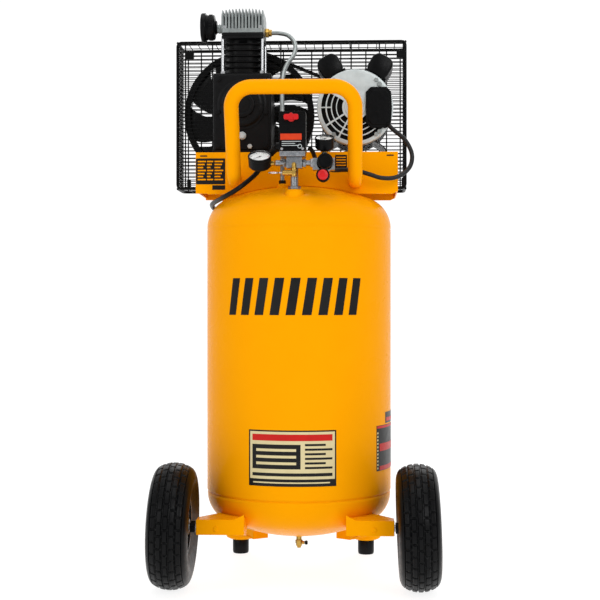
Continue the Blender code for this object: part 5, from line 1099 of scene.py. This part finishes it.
def make_regulator():
    """The regulator: arched die-cast body, ribbed knob, outlet elbow, quick coupler and red dust cap."""
    x0, x1, y = PORT[0] + 0.0388, 0.0822, PORT[1]
    knob_at = np.array((0.0625, y - 0.0175, 0.8965))
    body = [box((x0, y - 0.0165, 0.8792), (x1, y + 0.0170, 0.9040)),
            rod(0.0190, 0.0330, (knob_at[0] - 0.0012, y - 0.0165, 0.8935), (0, 1, 0), 64, 0.0016),
            hexagon(0.0100, 0.0090, (x0 + 0.0035, y, 0.89485), (-1, 0, 0)),
            rod(0.0060, 0.0080, (0.0605, y + 0.003, 0.9090)),
            rod(0.0080, 0.0150, (0.0585, y - 0.0040, 0.8655)),
            rod(0.0068, 0.0360, (0.0585, y - 0.0020, 0.8700), (0, -1, 0))]
    piece("regulator_casting", body, "zinc_plate", stands_for=("regulator_body",), bevel=0.0026, segments=4)
    t = np.linspace(0, math.tau, 144, endpoint=False)
    wave = 1 - 0.035 * (0.5 - 0.5 * np.cos(24 * t)) ** 2
    rings = []
    for h, scale, ribbed in ((0.0, 0.90, 0), (0.0012, 0.97, 1), (0.0030, 1.0, 1), (0.0140, 1.0, 1),
                             (0.0165, 0.97, 1), (0.0178, 0.90, 0), (0.0180, 0.70, 0), (0.0168, 0.66, 0),
                             (0.0164, 0.30, 0)):
        r = 0.0166 * scale * (wave if ribbed else 1 + 0 * t)
        rings.append(np.stack([r * np.cos(t), r * np.sin(t), 0 * t + h], -1))
    rings = placed(np.array(rings), knob_at, (0, -1, 0))
    piece("regulator_hand_knob", [loft(rings)], "moulded_black", "pressure_knob", ("regulator_knob",), angle=50)
    at = (0.0585, y - 0.0383, 0.8645)
    sleeve = turned([(0.0098, 0.0), (0.0138, 0.0), (0.0142, 0.0006), (0.0142, 0.0036), (0.0136, 0.0044),
                     (0.0128, 0.0058), (0.0128, 0.0108), (0.0136, 0.0120), (0.0142, 0.0128), (0.0142, 0.0184),
                     (0.0136, 0.0196), (0.0125, 0.0205), (0.0098, 0.0205), (0.0098, 0.0030)], at, (0, -1, 0), 64)
    piece("coupler_sleeve", [sleeve], "moulded_black", stands_for=("quick_coupler",))
    cap = turned([(0, 0.0040), (0.0076, 0.0040), (0.0080, 0.0046), (0.0080, 0.0206), (0.0104, 0.0208),
                  (0.0108, 0.0216), (0.0108, 0.0232), (0.0100, 0.0246), (0.0080, 0.0256), (0.0040, 0.0260),
                  (0, 0.0258)], at, (0, -1, 0), 64)
    piece("dust_cap_plug", [cap], "moulded_red", "dust_cap", ("coupler_cap",))


def make_gauge(name, node, face, tilt, radius, long, root, body):
    """A dial gauge: can and bezel, white dial with ticks, needle on its pivot, glass, stem and nut."""
    look = np.array((0, -math.cos(tilt), math.sin(tilt)))
    across = np.array((1.0, 0, 0))
    over = np.cross(look, across)
    face = np.array(face)
    can = [turned([(0, -0.0055), (radius - 0.0030, -0.0055), (radius - 0.0026, -0.0010),
                   (radius - 0.0020, 0.0), (radius - 0.0008, 0.0), (radius, -0.0010), (radius, -0.0060),
                   (radius - 0.0007, -0.0068), (radius - 0.0007, -long + 0.0040),
                   (radius - 0.0040, -long), (0, -long)], face, look, 96)]
    back = face - look * (long - 0.004)
    way = np.array(root) - back
    piece(f"{name}_can", can, "moulded_black", stands_for=(node,))
    brass = [rod(0.0052, float(np.linalg.norm(way)), back, way),
             hexagon(0.0090, 0.0065, back + unit(way) * 0.0040, way)]
    piece(f"{name}_stem", brass, "turned_brass", bevel=0.0003)
    piece(f"{name}_dial", [rod(radius - 0.0031, 0.0006, face - look * 0.0056, look, 96, 0.0001)], "dial_white")
    marks, reds = [], []
    for n in range(26):
        t = math.radians(225 - n * 270 / 25)
        ray = across * math.cos(t) + over * math.sin(t)
        side = np.cross(look, ray)
        inner, outer = radius * (0.60 if n % 5 == 0 else 0.70), radius * 0.80
        wide = 0.00042 if n % 5 == 0 else 0.00024
        spots = np.array([ray * a + side * b
                          for a, b in ((inner, -wide), (outer, -wide), (outer, wide), (inner, wide))])
        low = face - look * 0.0051
        bar = loft([low + spots, low + look * 0.00025 + spots])
        (reds if n > 19 else marks).append(bar)
    piece(f"{name}_ticks", marks, "label_black")
    piece(f"{name}_red_ticks", reds, "label_red")
    pivot = face - look * 0.0047
    t = math.radians(215)
    ray = across * math.cos(t) + over * math.sin(t)
    side = np.cross(look, ray)
    tip = radius * 0.62
    blade = np.array([ray * a + side * b
                      for a, b in ((-0.0050, -0.0007), (tip, -0.00025), (tip, 0.00025), (-0.0050, 0.0007))])
    needle = [rod(0.0020, 0.0014, pivot, look),
              loft([pivot + look * 0.0004 + blade, pivot + look * 0.0009 + blade])]
    piece(f"{name}_pointer", needle, "label_black", body, (f"{node}_needle",))
    disc = turned([(0, -0.0016), (radius - 0.0029, -0.0020), (radius - 0.0029, -0.0012), (0, -0.0006)],
                  face, look, 64)
    glass = piece(f"{name}_glass", [disc], "gauge_glass")
    glass.visible_shadow = False


def make_gauges(look):
    """Both dial gauges, each tipped up towards someone who stands in front."""
    y = PORT[1]
    make_gauge("tank_dial", "tank_gauge", (-0.0760, y - 0.010, 0.9110), math.radians(56), 0.0249, 0.028,
               (PORT[0] - 0.0416, y, 0.89485), "tank_needle")
    make_gauge("outlet_dial", "regulator_gauge", (0.0605, y - 0.003, 0.9490), math.radians(65), 0.0205, 0.026,
               (0.0605, y + 0.003, 0.9166), "regulator_needle")


# ---------------------------------------------------------------- cords

CORD_R = 0.0052
CORD_EXIT = np.array((-0.0410, -0.1195, 0.9310))
CORD_WAY = unit((-0.62, 0.42, -0.66))
CORD_ROUTE = [
    (-0.0732, -0.0977, 0.8967), (-0.0850, -0.0955, 0.8790), (-0.1040, -0.1050, 0.8600),
    (-0.1280, -0.1190, 0.8400), (-0.1580, -0.0940, 0.8262), (-0.1860, -0.0300, 0.8185),
    (-0.1935, 0.0200, 0.8150), (-0.1905, 0.0660, 0.8070), (-0.1925, 0.0900, 0.7885),
    (-0.1892, 0.1060, 0.7640), (-0.1795, 0.1250, 0.7200), (-0.1700, 0.1560, 0.6400),
    (-0.1655, 0.1860, 0.5200), (-0.1645, 0.2130, 0.3900), (-0.1650, 0.2360, 0.2800),
    (-0.1665, 0.2570, 0.1950), (-0.1740, 0.2720, 0.1300), (-0.1900, 0.2810, 0.0880),
    (-0.2130, 0.2840, 0.0660), (-0.2400, 0.2800, 0.0560), (-0.2650, 0.2640, 0.0440),
    (-0.2790, 0.2380, 0.0250), (-0.2780, 0.2080, 0.0105), (-0.2720, 0.1752, 0.0056),
]
HANK_X, HANK_LOW_Y, HANK_HIGH_Y, HANK_BEND = -0.3040, 0.0520, 0.1480, 0.0320
PLUG = (-0.3360, 0.2000, 0.0150)
LEAD_R = 0.0048
LEAD_ROUTE = [
    (0.1995, -0.0198, 0.9875), (0.2100, -0.0220, 0.9770), (0.2330, -0.0280, 0.9560),
    (0.2475, -0.0340, 0.9270), (0.2460, -0.0420, 0.9010), (0.2317, -0.0520, 0.8815),
    (0.2080, -0.0580, 0.8700), (0.1800, -0.0610, 0.8700), (0.1560, -0.0615, 0.8775),
    (0.1250, -0.0620, 0.8862), (0.1000, -0.0630, 0.8872), (0.0760, -0.0720, 0.8860),
    (0.0510, -0.0860, 0.8920), (0.0400, -0.1000, 0.9080), (0.0345, -0.1110, 0.9220),
    (0.0272, -0.1170, 0.9290),
]


def hank_path():
    """A round-ended loop in plan, one and a half turns: each turn lies one cord above the last."""
    a = np.linspace(0, -math.pi, 16)
    low = np.stack([HANK_X + HANK_BEND * np.cos(a), HANK_LOW_Y + HANK_BEND * np.sin(a)], -1)
    high = np.stack([HANK_X - HANK_BEND * np.cos(a), HANK_HIGH_Y - HANK_BEND * np.sin(a)], -1)
    run = np.linspace(0.165, 0.060, 8)
    down = np.stack([np.full(8, HANK_X + HANK_BEND), run], -1)
    up = np.stack([np.full(7, HANK_X - HANK_BEND), np.linspace(0.058, 0.142, 7)], -1)
    out = np.stack([np.full(8, HANK_X - HANK_BEND), np.linspace(0.058, 0.1985, 8)], -1)
    back = np.stack([np.full(7, HANK_X + HANK_BEND), np.linspace(0.142, 0.058, 7)], -1)
    flat = np.concatenate([down, low, up, high, back, low, out])
    gone = np.concatenate([[0], np.cumsum(np.linalg.norm(np.diff(flat, axis=0), axis=1))])
    climb = np.interp(gone, [0, 0.10, 0.50, gone[-1] - 0.05, gone[-1]], [0.0056, 0.0056, 0.0166, 0.0166, 0.0156])
    return np.concatenate([flat, climb[:, None]], 1)


def cord_curve(name, points, radius, finish, nodes):
    """A cord as a curve of one open spline with a round section."""
    curve = bpy.data.curves.new(name, "CURVE")
    curve.dimensions = "3D"
    curve.bevel_depth = radius
    curve.bevel_resolution = 6
    curve.use_fill_caps = True
    spline = curve.splines.new("POLY")
    spline.points.add(len(points) - 1)
    spline.points.foreach_set("co", np.concatenate([points, np.ones((len(points), 1))], 1).ravel())
    spline.use_smooth = True
    made = bpy.data.objects.new(name, curve)
    bpy.context.scene.collection.objects.link(made)
    return dressed(made, finish, "frame", nodes)


def make_cords(look):
    """The mains cord with its relief, hank, tie and plug, and the lead from the motor to the switch."""
    start = CORD_EXIT + CORD_WAY * 0.0223
    route = smooth_path([start] + CORD_ROUTE, 0.006)
    path = np.concatenate([route[:-1], hank_path()])
    path = smooth_path(path[::2] if len(path) % 2 else np.concatenate([path[:-1:2], path[-1:]]), 0.005)
    mains = cord_curve("mains_cord", path, CORD_R, "cord_rubber", ("power_cord", "cord_hank"))
    cone = turned([(0, 0.0), (0.0080, 0.0), (0.0078, 0.0030), (0.0070, 0.0040), (0.0074, 0.0070),
                   (0.0068, 0.0080), (0.0071, 0.0110), (0.0064, 0.0120), (0.0068, 0.0150), (0.0061, 0.0160),
                   (0.0064, 0.0190), (0.0058, 0.0222), (0, 0.0222)],
                  CORD_EXIT, CORD_WAY, 48)
    gland = rod(0.0095, 0.0090, (-0.0342, CORD_EXIT[1], CORD_EXIT[2]), (-1, 0, 0), 48)
    relief = piece("cord_relief", [gland, cone], "cord_rubber", stands_for=("strain_relief",))
    plug = [turned([(0, 0.0), (0.0072, 0.0), (0.0080, 0.0010), (0.0072, 0.0030), (0.0084, 0.0045),
                    (0.0078, 0.0070), (0.0092, 0.0095), (0.0100, 0.0120), (0.0134, 0.0180), (0.0142, 0.0220),
                    (0.0145, 0.0380), (0.0140, 0.0415), (0.0120, 0.0430), (0, 0.0430)],
                   PLUG, (0, 1, 0), 64)]
    body = piece("mains_plug", plug, "cord_rubber", stands_for=("power_plug",))
    x, y, z = PLUG
    blades = [box((x + s - 0.0008, y + 0.042, z - 0.0030), (x + s + 0.0008, y + 0.060, z + 0.0033))
              for s in (-0.0062, 0.0062)]
    blades.append(rod(0.0024, 0.0200, (x, y + 0.0425, z - 0.0068), (0, 1, 0)))
    pins = piece("plug_blades", blades, "turned_brass", bevel=0.0003)
    t = np.linspace(0, math.tau, 40, endpoint=False)
    fat = np.sign(np.cos(t)) * np.abs(np.cos(t)) ** 0.5, np.sign(np.sin(t)) * np.abs(np.sin(t)) ** 0.5
    band = np.stack([HANK_X + 0.0383 * fat[0], 0.098 + 0 * t, 0.0126 + 0.0118 * fat[1]], -1)
    strap = [(-0.0006, -0.004), (0.0006, -0.004), (0.0006, 0.004), (-0.0006, 0.004)]
    tie = piece("hank_tie", [swept(band, 0.0007, closed=True, up=(0, 1, 0), section=strap)], "moulded_black")
    lead_path = smooth_path(LEAD_ROUTE, 0.006)
    lead = cord_curve("motor_switch_lead", lead_path, LEAD_R, "lead_grey", ("motor_lead",))


def make_piston(look):
    """The piston with its ring grooves and the rod below it, out of sight in the barrel."""
    px, py = PUMP
    grooves = [(0.0310, 0.030), (0.0310, 0.0270), (0.0300, 0.0268), (0.0300, 0.0248), (0.0310, 0.0246),
               (0.0310, 0.0220), (0.0300, 0.0218), (0.0300, 0.0198), (0.0310, 0.0196), (0.0310, -0.0160),
               (0.0260, -0.0160), (0.0260, 0.0220), (0, 0.0220)]
    piece("piston_crown", [turned([(0, 0.030)] + grooves, (px, py, 1.128), steps=96)], "head_casting",
          "piston_group", ("piston",))
    plain("connecting_rod", "head_casting")


# ---------------------------------------------------------------- stage

def make_stage(look):
    """A plain pale floor and backdrop, soft lights, and the camera in front of the machine."""
    scene = bpy.context.scene
    scene.view_settings.view_transform = "Standard"
    t = np.linspace(0, math.pi / 2, 16)
    depth = np.concatenate([[-6.0], 4.0 + 2.0 * np.sin(t), [6.0]])
    height = np.concatenate([[0.0], 2.0 - 2.0 * np.cos(t), [7.0]])
    sheet = np.stack([np.stack([np.full(len(depth), x), depth, height], -1) for x in (-9.0, 9.0)])
    mesh = bpy.data.meshes.new("studio_floor")
    verts, faces = grid(sheet)
    mesh.from_pydata(verts, [], faces)
    mesh.flip_normals()
    mesh.shade_smooth()
    floor = bpy.data.objects.new("studio_floor", mesh)
    scene.collection.objects.link(floor)
    pale = bpy.data.materials.new("pale_floor")
    pale.use_nodes = True
    shader = pale.node_tree.nodes["Principled BSDF"]
    shader.inputs["Base Color"].default_value = (0.24, 0.24, 0.24, 1)
    shader.inputs["Roughness"].default_value = 0.8
    shader.inputs["Emission Color"].default_value = (1.0, 1.0, 1.0, 1)
    shader.inputs["Emission Strength"].default_value = 0.86
    mesh.materials.append(pale)
    world = bpy.data.worlds.new("studio_light")
    world.use_nodes = True
    world.node_tree.nodes["Background"].inputs["Color"].default_value = (1.0, 1.0, 1.0, 1)
    world.node_tree.nodes["Background"].inputs["Strength"].default_value = look.sky
    scene.world = world
    for name, place, aim, size, power in (
        ("key", (1.9, -3.3, 2.5), (0, 0, 0.75), (1.6, 2.2), look.key),
        ("fill", (-2.4, -2.9, 1.8), (0, 0, 0.65), (1.6, 2.4), look.key * 0.42),
        ("top", (0.0, -0.4, 4.0), (0, 0, 0.9), (3.0, 3.0), look.key * 0.85),
        ("back", (0.4, 3.2, 3.0), (0, 0, 0.8), (3.0, 2.0), look.key * 0.6),
    ):
        lamp = bpy.data.lights.new(name, "AREA")
        lamp.shape = "RECTANGLE"
        lamp.size, lamp.size_y = size
        lamp.energy = power
        spot = bpy.data.objects.new(name, lamp)
        aimed = (Vector(place) - Vector(aim)).to_track_quat("Z", "Y").to_matrix().to_4x4()
        spot.matrix_world = Matrix.Translation(place) @ aimed
        scene.collection.objects.link(spot)
    lens = bpy.data.cameras.new("camera")
    lens.lens = 81.0
    lens.sensor_width = 36.0
    lens.shift_x = 1 / 600
    distance, eye_z = 3.0, 0.606
    camera = bpy.data.objects.new("camera", lens)
    turn = math.radians(2.5)
    camera.location = (distance * math.sin(turn), AXIS_Y - distance * math.cos(turn), eye_z)
    camera.rotation_euler = (math.radians(90), 0, turn)
    scene.collection.objects.link(camera)
    scene.camera = camera


# ---------------------------------------------------------------- add-on

class CompressorLook(bpy.types.PropertyGroup):
    """Sizes and lights that a user would change."""
    tread_depth: bpy.props.FloatProperty(name="Tread depth", description="Depth of the tyre's grooves",
                                         default=0.0028, min=0.0, max=0.008, unit="LENGTH")
    wire_pitch: bpy.props.FloatProperty(name="Wire pitch",
                                        description="Distance between the guard's level wires", default=0.0089,
                                        min=0.005, max=0.03, unit="LENGTH")
    barrel_fins: bpy.props.IntProperty(name="Barrel fins", description="Cooling fins round the barrel",
                                       default=6, min=3, max=14)
    head_fins: bpy.props.IntProperty(name="Head slots", description="Slots between the head's fins",
                                     default=12, min=4, max=20)
    bar_count: bpy.props.IntProperty(name="Band bars", description="Slanted bars in the tank's decal",
                                     default=9, min=1, max=20)
    key: bpy.props.FloatProperty(name="Key light", description="Power of the main light", default=48.0,
                                 min=0.0, unit="POWER")
    sky: bpy.props.FloatProperty(name="Sky", description="Strength of the even light from all round",
                                 default=0.56, min=0.0)


def step(idname, label, work, text):
    """An operator class that runs one maker with the scene's settings."""
    def execute(self, context):
        work(context.scene.compressor_look)
        return {"FINISHED"}

    name = "COMPRESSOR_OT_" + idname
    return type(name, (bpy.types.Operator,), {
        "__doc__": text, "bl_idname": "compressor." + idname, "bl_label": label, "execute": execute})


STEPS = [
    step("stage", "Stage", make_stage, "Make the floor, lights and camera"),
    step("cords", "Cords", make_cords, "Make the mains cord, its plug and the motor's lead"),
    step("tank", "Tank", make_tank, "Make the receiver and its drain"),
    step("graphics", "Graphics", make_graphics, "Make the tank's plain decals"),
    step("running_gear", "Running gear", make_running_gear, "Make wheels, brackets and feet"),
    step("deck", "Deck", make_deck, "Make the deck and its labels"),
    step("handle", "Handle", make_handle, "Make the bent tube handle"),
    step("pump", "Pump", make_pump, "Make the pump from crankcase to filter"),
    step("piston", "Piston", make_piston, "Make the piston and its rod"),
    step("flywheel", "Flywheel", make_flywheel, "Make the fan flywheel and its shaft"),
    step("motor", "Motor", make_motor, "Make the motor, its pulley and the belt"),
    step("guard", "Guard", make_guard, "Make the wire belt guard"),
    step("controls", "Controls", make_controls, "Make the switch, manifold, valves and regulator"),
    step("gauges", "Gauges", make_gauges, "Make both dial gauges"),
]


class COMPRESSOR_PT_panel(bpy.types.Panel):
    """The sidebar list of the compressor's steps."""
    bl_label = "Compressor"
    bl_idname = "COMPRESSOR_PT_panel"
    bl_space_type = "VIEW_3D"
    bl_region_type = "UI"
    bl_category = "Compressor"

    def draw(self, context):
        look = context.scene.compressor_look
        for name in ("tread_depth", "wire_pitch", "barrel_fins", "head_fins", "bar_count", "key", "sky"):
            self.layout.prop(look, name)
        for made in STEPS:
            self.layout.operator(made.bl_idname)


CLASSES = [CompressorLook, *STEPS, COMPRESSOR_PT_panel]


def register():
    for made in CLASSES:
        bpy.utils.register_class(made)
    bpy.types.Scene.compressor_look = bpy.props.PointerProperty(type=CompressorLook)


def unregister():
    del bpy.types.Scene.compressor_look
    for made in reversed(CLASSES):
        bpy.utils.unregister_class(made)


def main():
    """Run every step in order, then write the frame's box and the finished model's box."""
    register()
    for made in STEPS:
        getattr(bpy.ops.compressor, made.bl_idname.split(".")[1])()


if __name__ == "__main__":
    main()
